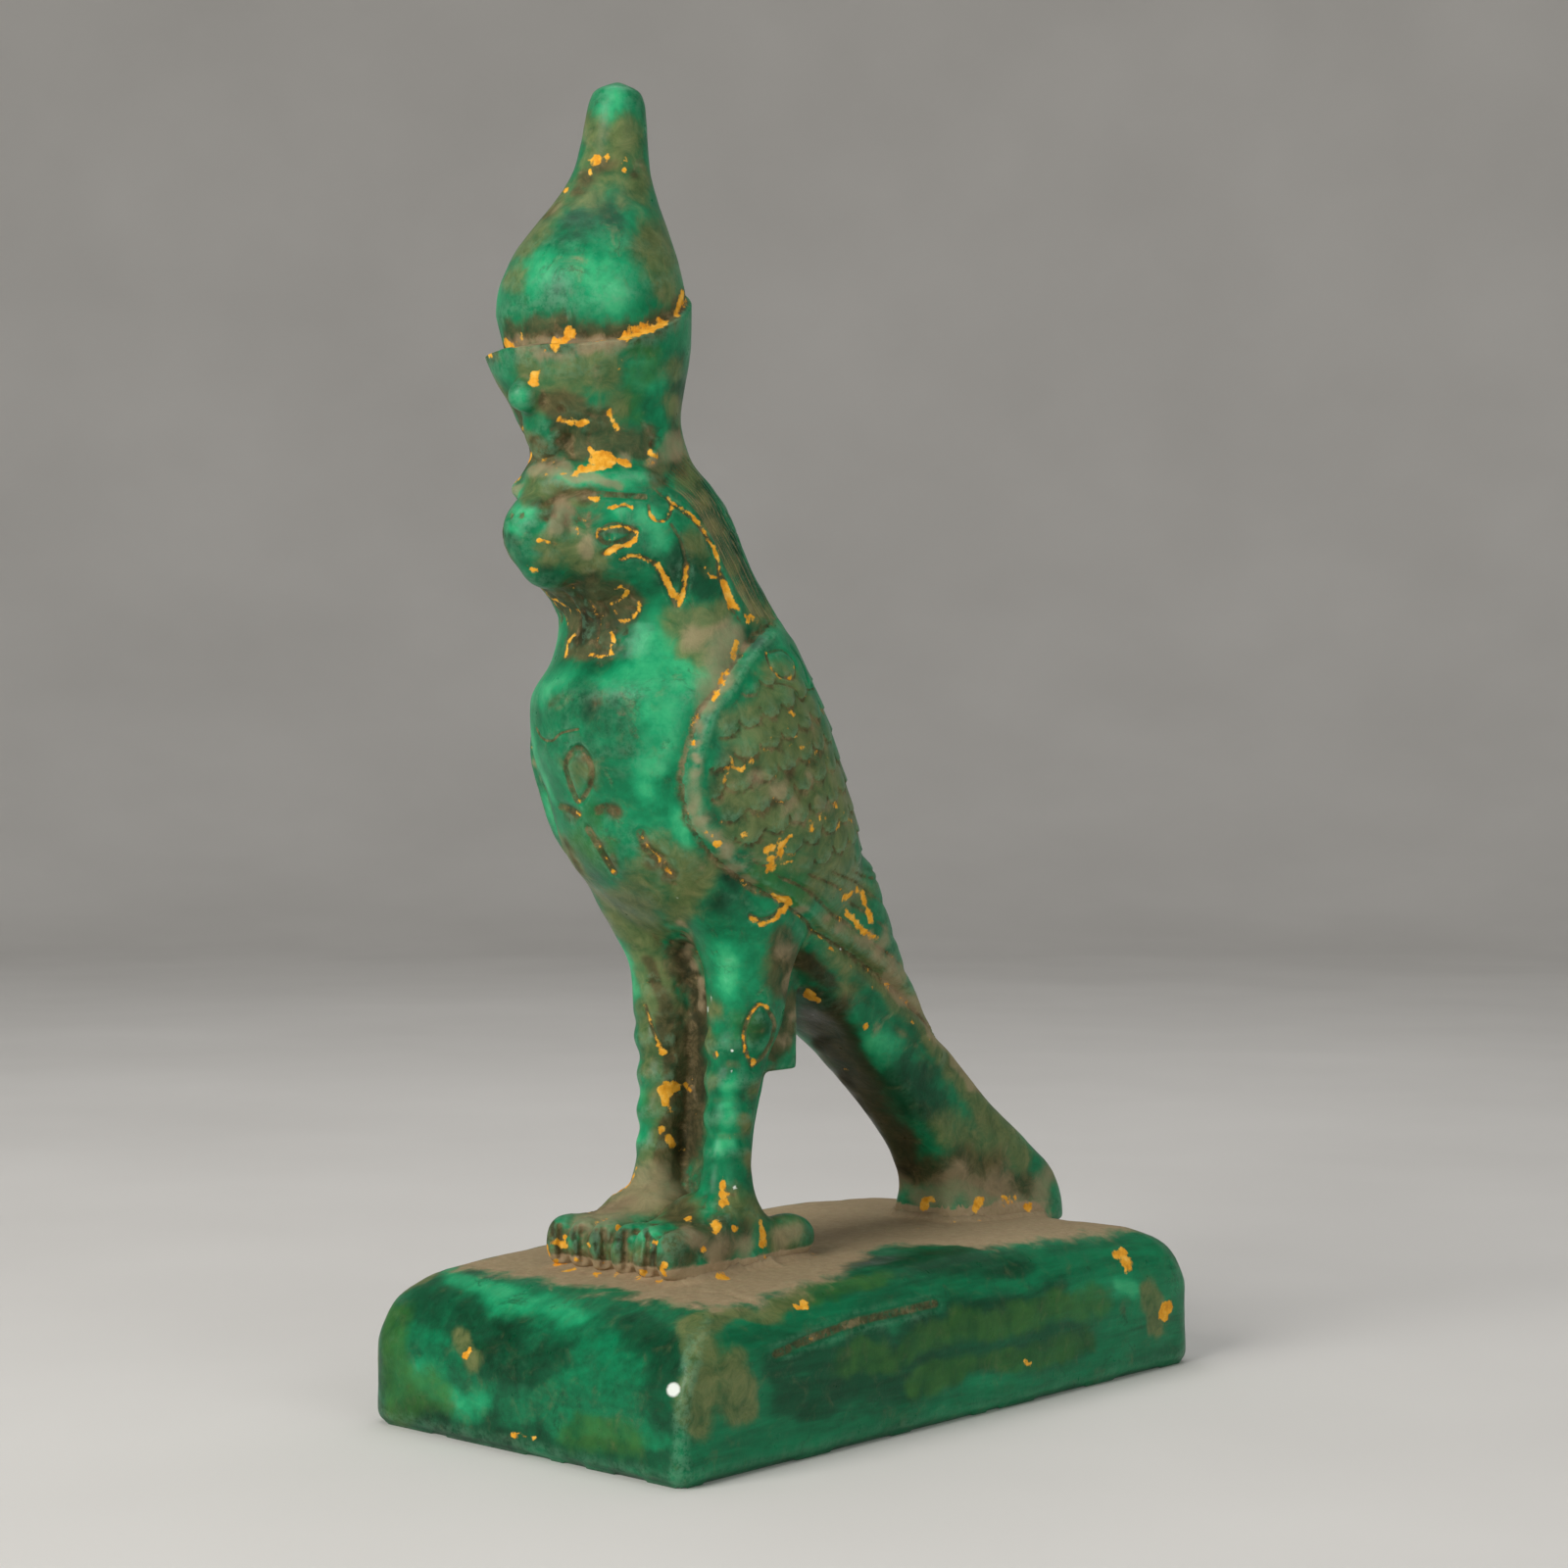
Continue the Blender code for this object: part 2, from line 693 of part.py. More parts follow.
def carve(thing):
    """Move the skin in and out along its own direction to make the carving."""
    mesh = thing.data
    places = vertex_places(mesh)
    directions = np.empty(len(mesh.vertices) * 3)
    mesh.vertex_normals.foreach_get("vector", directions)
    points = falcon_measure(places)
    tree = BVHTree.FromObject(thing, bpy.context.evaluated_depsgraph_get())
    relief = -cut_lines(tree, points)
    for feature in (crown_relief, brow_relief, wing_relief, collar_relief, shin_relief, hollow_relief):
        relief += feature(points)
    places += directions.reshape(-1, 3) * (relief * UNIT)[:, None]
    mesh.vertices.foreach_set("co", places.ravel())
    mesh.update()


def thin_out(thing, triangles):
    """Reduce the skin to about this many triangles, fewest where it is flattest."""
    count = sum(len(face.vertices) - 2 for face in thing.data.polygons)
    thinning = thing.modifiers.new("thin out", "DECIMATE")
    thinning.ratio = min(1.0, triangles / count)
    settle(thing)


def plinth_droop(forward):
    """How far the worn top has sunk at this place along the plinth."""
    deepest = plinth_front_droop if forward < 0 else plinth_back_droop
    share = (abs(forward) - plinth_level_reach) / (plinth_length / 2 - plinth_level_reach)
    return deepest * max(0.0, share) ** plinth_droop_power


def plinth_edge_rounding(edge):
    """The rounding that an edge of the plain block gets."""
    first, second = edge.verts
    if max(first.co.z, second.co.z) == 0:
        return plinth_foot_rounding
    if min(first.co.z, second.co.z) == 0:
        is_crisp = first.co.x > 0 > first.co.y
        return plinth_crisp_corner_rounding if is_crisp else plinth_corner_rounding
    runs_across = first.co.x != second.co.x
    return plinth_end_rounding if runs_across else plinth_side_rounding


def plinth_solid(name, collection):
    """A block with broadly rounded top edges, rounded corners and a lightly rounded foot."""
    shape = bmesh.new()
    bmesh.ops.create_cube(shape, size=1.0)
    for vert in shape.verts:
        x, y, z = vert.co
        vert.co = (x * plinth_width, y * plinth_length, (z + 0.5) * plinth_height)
    weight = shape.edges.layers.float.new("bevel_weight_edge")
    roundings = [plinth_edge_rounding(edge) for edge in shape.edges]
    for edge, edge_rounding in zip(shape.edges, roundings):
        edge[weight] = edge_rounding / max(roundings)
    thing = mesh_object(name, shape, collection)
    rounding = thing.modifiers.new("rounding", "BEVEL")
    rounding.limit_method = "WEIGHT"
    rounding.width = max(roundings)
    rounding.segments = plinth_rounding_steps
    settle(thing)
    wear_down(thing)
    return thing


def wear_down(thing):
    """Slice the plinth across and let its top sink towards both ends, with the underside flat."""
    shape = bmesh.new()
    shape.from_mesh(thing.data)
    for cut in np.linspace(-0.5, 0.5, plinth_slices + 1)[1:-1]:
        everything = shape.verts[:] + shape.edges[:] + shape.faces[:]
        place = Vector((0.0, cut * plinth_length, 0.0))
        bmesh.ops.bisect_plane(shape, geom=everything, plane_co=place, plane_no=(0.0, 1.0, 0.0))
    for vert in shape.verts:
        vert.co.z -= plinth_droop(vert.co.y) * vert.co.z / plinth_height
    shape.to_mesh(thing.data)
    shape.free()


def stone_material():
    material = bpy.data.materials.new("green_stone")
    material.use_nodes = True
    shader = material.node_tree.nodes["Principled BSDF"]
    shader.inputs["Base Color"].default_value = stone_color
    shader.inputs["Roughness"].default_value = stone_roughness
    shader.inputs["Metallic"].default_value = 0.0
    return material


def main():
    for old in list(bpy.data.objects):
        bpy.data.objects.remove(old, do_unlink=True)
    parts = bpy.data.collections.new("falcon_deity_statuette")
    masses = bpy.data.collections.new("cutters")
    bpy.context.scene.collection.children.link(parts)
    bpy.context.scene.collection.children.link(masses)

    falcon = joined("falcon", falcon_masses(masses), masses)
    blend(falcon)
    carve(falcon)
    thin_out(falcon, falcon_triangles)
    falcon.hide_render = True
    falcon.display_type = "WIRE"

    statue = plinth_solid("falcon_statue", parts)
    union = statue.modifiers.new("falcon", "BOOLEAN")
    union.operation = "UNION"
    union.object = falcon
    union.solver = "EXACT"
    settle(statue)
    statue.data.materials.clear()
    statue.data.materials.append(stone_material())
    statue.data.shade_smooth()
    statue.data.set_sharp_from_angle(angle=sharp_angle)


main()
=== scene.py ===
"""Looks of the falcon deity statuette: its skin with the fine carving, wear, dust and yellow pigment.

The falcon's stations, edges and reliefs are the part's own values. Marks that only the photograph shows are
placed by its pixels: a sight line through the pixel gives the point on the skin, and the mark is made round
that point.
"""

import math
from collections import namedtuple
from functools import partial, reduce

import bmesh
import bpy
import numpy as np
from mathutils import Matrix, Vector, noise
from mathutils.bvhtree import BVHTree


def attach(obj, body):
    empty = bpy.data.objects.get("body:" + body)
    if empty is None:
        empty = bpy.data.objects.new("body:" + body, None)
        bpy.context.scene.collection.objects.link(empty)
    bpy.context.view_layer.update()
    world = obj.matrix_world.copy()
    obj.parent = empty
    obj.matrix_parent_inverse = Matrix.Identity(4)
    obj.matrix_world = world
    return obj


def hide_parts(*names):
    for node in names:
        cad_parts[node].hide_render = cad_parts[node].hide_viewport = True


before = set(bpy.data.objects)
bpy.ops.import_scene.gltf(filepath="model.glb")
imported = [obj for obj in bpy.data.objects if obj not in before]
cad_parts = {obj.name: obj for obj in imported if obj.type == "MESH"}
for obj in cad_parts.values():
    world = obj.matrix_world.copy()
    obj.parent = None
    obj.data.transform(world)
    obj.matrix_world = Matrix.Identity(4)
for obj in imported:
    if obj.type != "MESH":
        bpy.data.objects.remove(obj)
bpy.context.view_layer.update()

MM = 0.001

# Driving sizes
plinth_length = 92.4 * MM
plinth_width = 50.0 * MM
plinth_height = 18.0 * MM
plinth_end_rounding = 9.5 * MM
plinth_side_rounding = 6.0 * MM
plinth_corner_rounding = 4.0 * MM
plinth_crisp_corner_rounding = 0.9 * MM
plinth_foot_rounding = 2.0 * MM
plinth_level_reach = 18.0 * MM
plinth_front_droop = 1.7 * MM
plinth_back_droop = 1.3 * MM
plinth_droop_power = 1.5
plinth_slices = 12
falcon_height = 132.0 * MM
falcon_setback = 0.0 * MM
foot_sink = 2.6 * MM

# Fineness of the falcon's skin and the plinth
voxel_size = 0.36 * MM
blending_passes = 19
falcon_triangles = 190000
blending_factor = 0.5
ring_points = 56
ring_spacing = 1.0
foot_slice_spacing = 0.6
plinth_rounding_steps = 6
egg_segments = (24, 16)
edge_samples = 200

# Where the thighs leave the belly the skin is blended more than elsewhere
flank_blending_passes = 58
flank_heights = (24.0, 35.0)
flank_fade = 4.0

# The falcon's own sizes from here on are in hundredths of its height
UNIT = falcon_height / 100.0

# Body by height: height, front, back, half width, squareness of the front and of the back
body_stations = (
    (100.0, -23.2, -23.1, 0.05, 2.0, 2.0),
    (99.6, -24.8, -21.8, 1.4, 2.0, 2.0),
    (98.4, -25.6, -20.9, 2.3, 2.0, 2.0),
    (96.0, -26.1, -20.8, 2.65, 2.0, 2.0),
    (92.5, -27.0, -20.7, 3.1, 2.0, 2.0),
    (89.8, -28.6, -20.3, 4.2, 2.0, 2.0),
    (87.0, -31.0, -19.5, 5.7, 2.0, 2.0),
    (84.1, -33.1, -18.7, 7.1, 2.0, 2.0),
    (81.0, -34.0, -18.0, 7.9, 2.1, 2.0),
    (77.5, -34.0, -17.8, 8.1, 2.1, 2.0),
    (75.0, -34.0, -18.1, 7.8, 2.1, 2.0),
    (71.5, -32.6, -18.3, 6.6, 2.1, 2.0),
    (68.2, -30.8, -17.1, 6.3, 2.1, 2.0),
    (66.0, -32.6, -14.4, 7.1, 1.9, 2.0),
    (63.5, -33.0, -12.7, 8.0, 1.8, 2.0),
    (61.0, -33.4, -11.3, 8.4, 1.75, 2.0),
    (58.5, -31.8, -9.8, 8.6, 1.75, 2.0),
    (56.8, -28.6, -8.8, 8.8, 1.9, 2.0),
    (54.5, -26.7, -7.4, 9.1, 2.0, 2.1),
    (51.8, -26.9, -5.8, 10.1, 2.0, 2.1),
    (48.0, -29.0, -4.2, 11.5, 2.1, 2.2),
    (44.0, -28.6, -2.4, 12.1, 2.1, 2.2),
    (39.5, -26.8, -0.6, 12.2, 2.1, 2.2),
    (35.0, -25.2, 1.5, 11.5, 2.1, 2.2),
    (31.5, -22.2, 2.6, 10.0, 2.1, 2.2),
    (29.0, -18.8, 2.7, 7.8, 2.1, 2.2),
    (27.4, -16.0, 1.8, 5.4, 2.1, 2.2),
    (26.4, -13.5, 0.2, 3.0, 2.1, 2.2),
)

# Tail by height: height, front, back, half width. Its sections are nearly rectangular
tail_squareness = 5.0
tail_stations = (
    (34.0, -9.0, 1.0, 8.6),
    (29.0, -8.6, 4.2, 8.0),
    (25.5, -6.6, 7.0, 7.0),
    (22.0, -3.2, 9.9, 5.8),
    (18.3, 2.5, 14.1, 4.9),
    (14.4, 7.1, 19.0, 4.2),
    (10.4, 11.5, 23.9, 4.0),
    (6.2, 15.3, 30.0, 3.9),
    (2.6, 16.8, 34.2, 4.0),
    (0.6, 16.6, 34.6, 4.6),
    (-1.6, 16.0, 34.4, 5.0),
)

# Leg by height: height, front, back, inner side, outer side
leg_squareness = (2.0, 2.5)
leg_stations = (
    (37.0, -19.5, -3.0, 1.5, 9.0),
    (33.0, -20.9, -4.6, 1.0, 9.7),
    (31.0, -19.9, -5.6, 0.7, 9.5),
    (28.0, -17.9, -6.8, 0.8, 8.7),
    (24.5, -16.2, -8.0, 1.2, 7.7),
    (20.0, -15.8, -9.2, 1.5, 7.3),
    (17.2, -15.8, -10.4, 1.7, 6.6),
    (13.6, -16.0, -11.4, 2.0, 6.1),
    (9.0, -16.3, -12.0, 2.2, 5.8),
    (6.0, -17.0, -11.8, 2.0, 6.2),
    (3.4, -18.4, -10.8, 1.4, 7.4),
    (-1.6, -19.5, -9.8, 0.6, 8.2),
)

# Foot from its toes back: forward place, top, inner side, outer side
foot_squareness = (6.0, 3.0)
foot_stations = (
    (-22.9, 3.6, -0.4, 7.6),
    (-21.5, 4.0, -0.5, 8.0),
    (-19.0, 4.5, -0.5, 7.9),
    (-17.0, 5.9, -0.5, 7.6),
    (-14.5, 6.2, -0.2, 7.4),
    (-12.0, 4.6, 0.8, 7.4),
    (-10.0, 3.2, 2.2, 7.6),
)

# Web of stone between the legs, by height: height, front, back
web_stations = (
    (34.0, -15.0, -4.0),
    (16.0, -12.6, -7.0),
    (10.0, -12.8, -8.6),
    (-1.6, -14.5, -9.4),
)
web_half_width = 2.6
web_squareness = 6.0

# Flat-bottomed block under the belly, behind the legs: size and middle
block_size = (8.0, 7.2, 14.0)
block_middle = (0.0, -8.4, 22.8)

toes_per_foot = 3
toe_pitch = 2.62
toe_front = -24.9
toe_size = (1.27, 2.6, 2.3)
toe_middle_height = 1.75
toe_squareness = 2.8

spur_size = (1.9, 3.6, 2.2)
spur_middle = (5.9, -9.0, 1.6)

beak_size = (3.8, 5.0, 3.9)
beak_middle = (0.0, -30.3, 61.4)
beak_tip_size = (2.3, 3.0, 2.6)
beak_tip_middle = (0.0, -31.0, 59.4)

cobra_head_size = (1.3, 1.4, 1.3)
cobra_head_middle = (0.0, -33.9, 72.4)
cobra_hood_size = (2.1, 1.5, 3.1)
cobra_hood_middle = (0.0, -31.7, 70.6)

# Lower crown's rim: forward place and the height of its edge, which climbs to the back
rim_edge = (
    (-36.0, 76.9),
    (-33.0, 76.4),
    (-29.5, 76.9),
    (-26.0, 78.3),
    (-22.5, 80.0),
    (-19.5, 81.9),
    (-16.0, 83.5),
)
rim_lip = 1.0
rim_lip_reach = 4.5
rim_lip_power = 2
rim_lip_behind = 0.05
rim_back = -16.0
rim_front = -34.0
rim_groove = 0.85
rim_groove_behind = 0.1
rim_groove_reach = 3.2
rim_sharpness = 0.35

# Brow band round the head: forward place and the height of its middle
brow_line = ((-36.0, 64.2), (-33.5, 64.5), (-31.0, 65.3), (-27.0, 65.9), (-24.0, 65.6))
brow_rise = 0.45
brow_reach = 1.1
brow_back = -26.0
brow_front = -32.5
brow_fade = 4.0

# Wing's front edge: height and forward place, from the shoulder down to the tail
wing_edge = (
    (56.0, -9.0),
    (53.1, -16.2),
    (49.7, -20.6),
    (46.4, -23.4),
    (42.4, -24.2),
    (38.4, -23.2),
    (35.1, -20.9),
    (33.1, -18.0),
    (31.3, -14.0),
    (28.1, -6.5),
    (23.2, 4.5),
    (19.0, 12.5),
    (14.0, 19.5),
    (6.0, 28.0),
)
wing_rise = 0.4
wing_blend = 0.75
wing_groove_reach = 1.5
wing_rim_rise = 0.12
wing_rim_reach = 0.8
wing_heights = (17.0, 54.0)
wing_fade = 3.0
feather_inset = 1.3
feather_fade = 0.5

# The spine between the wings is left plain: half its width and the fade to the feathers
spine_half_width = 2.0
spine_fade = 3.0

# Small feathers in rows on the wing, and long ones below them
scale_row = 2.3
scale_width = 2.4
scale_rise = 0.3
scale_slant = math.radians(20.0)
scale_ridge = 0.35
scale_heights = (34.0, 50.0)
scale_fade = 1.0
quill_pitch = 1.75
quill_depth = 0.16
quill_sharpness = 3

# Collar of the head cloth behind the face: height and forward place
collar_edge = ((66.0, -27.5), (63.8, -24.6), (61.9, -21.8), (58.4, -20.0), (54.4, -18.0))
collar_rise = 0.16
collar_blend = 0.5
collar_heights = (54.4, 65.0)
collar_fade = 2.0
strand_pitch = 1.25
strand_depth = 0.1
strand_sharpness = 2

# Creases across the front of the legs
shin_heights = (9.0, 20.5)
shin_fade = 2.0
shin_back = -12.0
shin_inner_side = 2.0
shin_pitch = 3.1
shin_depth = 0.16

# Hollows rubbed into both sides: middle as forward and height, reach along each, depth
side_hollows = (
    ((-31.2, 62.4), (2.4, 1.9), 0.6),
    ((-27.0, 54.6), (3.6, 2.6), 0.45),
)
hollow_inner_side = 0.8

# The photograph's camera: its place, how far it is turned round the object and its lens
photo_pixels = 1600
camera_place = (0.2329, -0.26, 0.0719)
camera_azimuth = math.radians(42.2)
camera_lens = 67.5
camera_sensor = 36.0
camera_clip_start = 0.01

# Gaps between the near foot's toes, at pixels of the photograph, which are both cut and darkened with
# painted shade
toe_gaps = (
    ((571, 1250), (572, 1284)),
    ((593, 1252), (594, 1288)),
    ((616, 1254), (616, 1292)),
    ((638, 1257), (638, 1296)),
    ((661, 1260), (660, 1300)),
)
toe_gap_cut = (0.35, 0.4, -0.5, False)
toe_gap_shade = 2.5

# Lines cut in the skin, at pixels of the photograph: half width and depth in millimetres, how much yellow
# pigment is left in the line (1 full, 0 patchy, -1 none), whether the far side has it too, and the corners
cut_marks = (
    (0.22, 0.25, -1.0, True, ((609, 546), (616, 538), (625, 534), (637, 536), (648, 541))),
    (0.3, 0.3, -1.0, True, ((650, 541), (645, 548), (636, 557), (623, 560), (616, 565))),
    (0.3, 0.3, -1.0, True, ((610, 546), (616, 553), (627, 554), (640, 549), (646, 542))),
    (0.2, 0.12, -1.0, True, ((625, 518), (635, 516), (643, 517))),
    (0.35, 0.25, -0.6, True, ((558, 513), (574, 507), (593, 503), (612, 504), (633, 505), (658, 507))),
    (0.25, 0.22, -1.0, True, ((635, 571), (645, 568), (657, 569), (668, 575))),
    (0.42, 0.4, -1.0, True, ((668, 575), (679, 591), (685, 606), (691, 617))),
    (0.4, 0.4, -1.0, True, ((691, 617), (697, 604), (700, 588), (701, 577))),
    (0.2, 0.16, -1.0, True, ((662, 516), (664, 527), (674, 532), (682, 528), (685, 518), (681, 507))),
    (0.22, 0.2, -1.0, True, ((686, 514), (699, 522), (712, 535), (723, 551), (730, 566), (735, 587))),
    (0.42, 0.35, -1.0, True, ((735, 587), (740, 599), (744, 611), (749, 621))),
    (0.2, 0.12, -1.0, True, ((685, 535), (693, 549), (698, 564), (700, 577))),
    (0.35, 0.35, -0.2, False, (
        (585, 765), (591, 763), (599, 771), (604, 788), (601, 804), (591, 818), (585, 810),
    )),
    (0.35, 0.35, -0.2, False, ((585, 810), (580, 794), (577, 779), (585, 765))),
    (0.5, 0.35, 0.0, False, ((572, 823), (581, 826), (589, 831))),
    (0.6, 0.3, -0.8, False, ((610, 827), (619, 824), (628, 828))),
    (0.45, 0.35, -0.2, False, ((600, 846), (608, 859), (618, 876), (627, 890))),
    (0.6, 0.4, -0.1, False, ((654, 851), (660, 865), (673, 877), (684, 891))),
    (0.16, 0.12, -1.0, False, ((547, 743), (553, 753), (563, 756), (573, 748), (590, 744))),
    (0.25, 0.25, -1.0, True, (
        (779, 670), (785, 684), (798, 692), (808, 693), (807, 677), (795, 665), (783, 667),
    )),
    (0.25, 0.2, -1.0, True, ((803, 662), (812, 675), (818, 689), (821, 702))),
    (0.25, 0.2, -1.0, True, ((788, 697), (806, 702), (816, 716), (823, 702))),
    (0.35, 0.3, -1.0, True, ((766, 935), (776, 939), (788, 936), (798, 927), (803, 916), (794, 914))),
    (0.3, 0.25, 0.4, True, (
        (782, 1029), (775, 1025), (767, 1033), (761, 1046), (759, 1062), (763, 1078), (768, 1088),
    )),
    (0.3, 0.2, -1.0, True, ((768, 1088), (778, 1078), (787, 1062), (790, 1043), (782, 1029))),
    (0.25, 0.12, 0.5, False, ((659, 1026), (662, 1038), (667, 1053), (675, 1072))),
    (0.5, 0.25, -1.0, False, (
        (792, 1382), (820, 1369), (848, 1358), (876, 1348), (911, 1340), (954, 1330),
    )),
    (0.18, 0.25, -1.0, False, ((713, 1318), (733, 1319), (747, 1321), (761, 1327), (772, 1330))),
    (0.18, 0.2, -1.0, False, ((739, 1316), (747, 1321), (755, 1323))),
    *((*toe_gap_cut, gap) for gap in toe_gaps),
)

# Yellow pigment laid on in strokes, at pixels of the photograph: half width in millimetres and the corners
pigment_strokes = (
    (0.5, ((531, 342), (527, 349), (524, 356))), (0.75, ((581, 341), (574, 345), (567, 351))),
    (0.28, ((567, 355), (556, 359))), (0.14, ((590, 352), (604, 350), (620, 347))),
    (0.5, ((635, 345), (646, 341), (658, 336), (669, 332), (678, 328))),
    (0.4, ((637, 340), (650, 335), (664, 330), (677, 325))), (0.25, ((678, 328), (687, 321))),
    (0.45, ((691, 319), (695, 309), (698, 299))), (0.5, ((547, 383), (545, 391))),
    (0.35, ((583, 432), (591, 432), (597, 430))), (0.15, ((570, 428), (582, 431))),
    (0.28, ((623, 420), (625, 430), (629, 438))), (0.12, ((636, 366), (633, 374), (628, 378))),
    (0.85, ((609, 467), (622, 469))), (0.55, ((632, 470), (639, 472))), (0.5, ((595, 480), (612, 477))),
    (0.25, ((583, 484), (596, 482))), (0.3, ((602, 458), (606, 466))), (0.2, ((553, 476), (556, 485))),
    (0.14, ((562, 486), (578, 483))), (0.35, ((602, 509), (610, 510))), (0.3, ((664, 462), (668, 464))),
    (0.13, ((622, 518), (634, 516), (644, 517))),
    (0.15, ((663, 523), (668, 530), (676, 532), (682, 527), (685, 516), (681, 507))),
    (0.2, ((609, 548), (612, 541), (620, 537), (630, 537), (641, 540), (648, 544))),
    (0.31, ((649, 544), (646, 551), (638, 557), (627, 560), (616, 564))),
    (0.15, ((622, 551), (626, 551))), (0.16, ((633, 571), (645, 568), (657, 569), (669, 576))),
    (0.36, ((670, 577), (678, 588), (684, 603), (691, 609))),
    (0.3, ((701, 577), (700, 590), (697, 603), (694, 616))),
    (0.16, ((686, 514), (699, 521), (710, 531), (720, 545), (727, 558))),
    (0.2, ((729, 560), (733, 570), (736, 586))), (0.38, ((739, 594), (742, 606), (748, 618))),
    (0.15, ((719, 580), (724, 588), (735, 590))), (0.15, ((752, 618), (757, 626), (765, 629))),
    (0.22, ((763, 635), (766, 628), (772, 634))),
    (0.2, ((623, 617), (630, 612), (640, 605), (636, 596), (628, 600))),
    (0.14, ((641, 606), (647, 614), (651, 618))),
    (0.22, ((651, 617), (650, 624), (644, 632), (636, 634))), (0.2, ((626, 618), (628, 626), (634, 633))),
    (0.28, ((624, 645), (626, 655), (624, 667))), (0.14, ((598, 669), (610, 668), (624, 669))),
    (0.35, ((752, 657), (749, 666), (745, 673))), (0.25, ((745, 680), (741, 687), (735, 692))),
    (0.3, ((738, 694), (733, 702), (729, 712))), (0.2, ((570, 620), (575, 632))),
    (0.25, ((540, 580), (546, 582))), (0.2, ((550, 551), (562, 554))), (0.22, ((586, 538), (590, 546))),
    (0.12, ((805, 680), (801, 673), (792, 667), (781, 668))),
    (0.14, ((781, 668), (785, 680), (793, 690), (801, 696))),
    (0.25, ((805, 674), (808, 684), (805, 694))), (0.14, ((795, 664), (803, 668), (808, 672))),
    (0.22, ((760, 734), (768, 738))), (0.32, ((805, 726), (808, 730))), (0.3, ((801, 741), (806, 748))),
    (0.25, ((785, 751), (787, 755))), (0.28, ((807, 760), (818, 763))), (0.35, ((822, 758), (828, 768))),
    (0.3, ((838, 774), (844, 775))), (0.25, ((745, 770), (748, 778), (753, 784))),
    (0.22, ((770, 772), (764, 780), (756, 786))), (0.2, ((742, 786), (738, 797))),
    (0.18, ((843, 800), (844, 805))), (0.42, ((806, 853), (800, 858), (792, 862), (784, 866))),
    (0.45, ((800, 860), (793, 870), (788, 878), (785, 888))), (0.3, ((780, 866), (783, 876), (785, 884))),
    (0.26, ((792, 872), (798, 880), (806, 880))), (0.35, ((758, 852), (764, 852))),
    (0.36, ((826, 838), (828, 848))), (0.26, ((834, 832), (836, 838))), (0.3, ((842, 826), (840, 836))),
    (0.25, ((848, 814), (852, 822))), (0.3, ((850, 824), (856, 822), (860, 830))),
    (0.36, ((862, 834), (868, 842), (872, 850))), (0.3, ((853, 842), (854, 849))),
    (0.42, ((872, 906), (862, 914), (859, 922), (862, 930), (868, 937))),
    (0.42, ((872, 906), (880, 915), (884, 926), (888, 940))),
    (0.42, ((868, 938), (876, 946), (884, 952), (893, 956))),
    (0.35, ((788, 913), (797, 918), (804, 915))), (0.4, ((804, 918), (801, 927), (794, 933))),
    (0.26, ((794, 934), (786, 940), (776, 942), (767, 938))),
    (0.14, ((782, 1029), (775, 1025), (767, 1033), (761, 1046), (759, 1062), (763, 1078), (768, 1088))),
)

# Raised lines: half width and height in millimetres, whether the far side has it too, and the corners
raised_marks = (
    (1.1, 0.35, True, ((786, 905), (812, 933), (866, 985), (905, 1022), (940, 1052), (958, 1078))),
    (0.5, 0.35, False, ((768, 1282), (778, 1290), (792, 1292))),
    (1.2, 0.5, False, ((545, 480), (562, 468), (570, 480), (558, 488))),
)

# Strands of the head cloth over the nape run between these two lines, at pixels of the photograph
inner_strand = (
    (678, 493), (695, 503), (709, 519), (721, 538), (731, 557), (743, 583), (755, 606), (767, 627),
)
outer_strand = (
    (696, 462), (714, 483), (733, 512), (749, 542), (766, 578), (782, 611), (792, 630), (796, 634),
)
strand_count = 12
strand_cut = (0.18, 0.17)

# Small swellings and pits: the pixel, reach and height in millimetres, and whether the far side has it too
knob_marks = (
    (629, 548, 1.9, 0.35, True),
    (622, 548, 0.6, -0.3, True),
    (531, 525, 0.8, -0.5, True),
    (666, 463, 1.0, 0.5, True),
    (581, 446, 1.8, -0.25, False),
    (620, 424, 1.2, -0.3, False),
    (563, 474, 0.7, -0.4, False),
    (666, 453, 0.7, -0.4, False),
    (572, 419, 0.9, -0.35, False),
    (591, 765, 0.9, -0.35, False),
    (728, 1077, 0.8, -0.3, False),
    (747, 1321, 1.1, -0.35, False),
    (775, 1042, 1.5, 0.2, True),
)

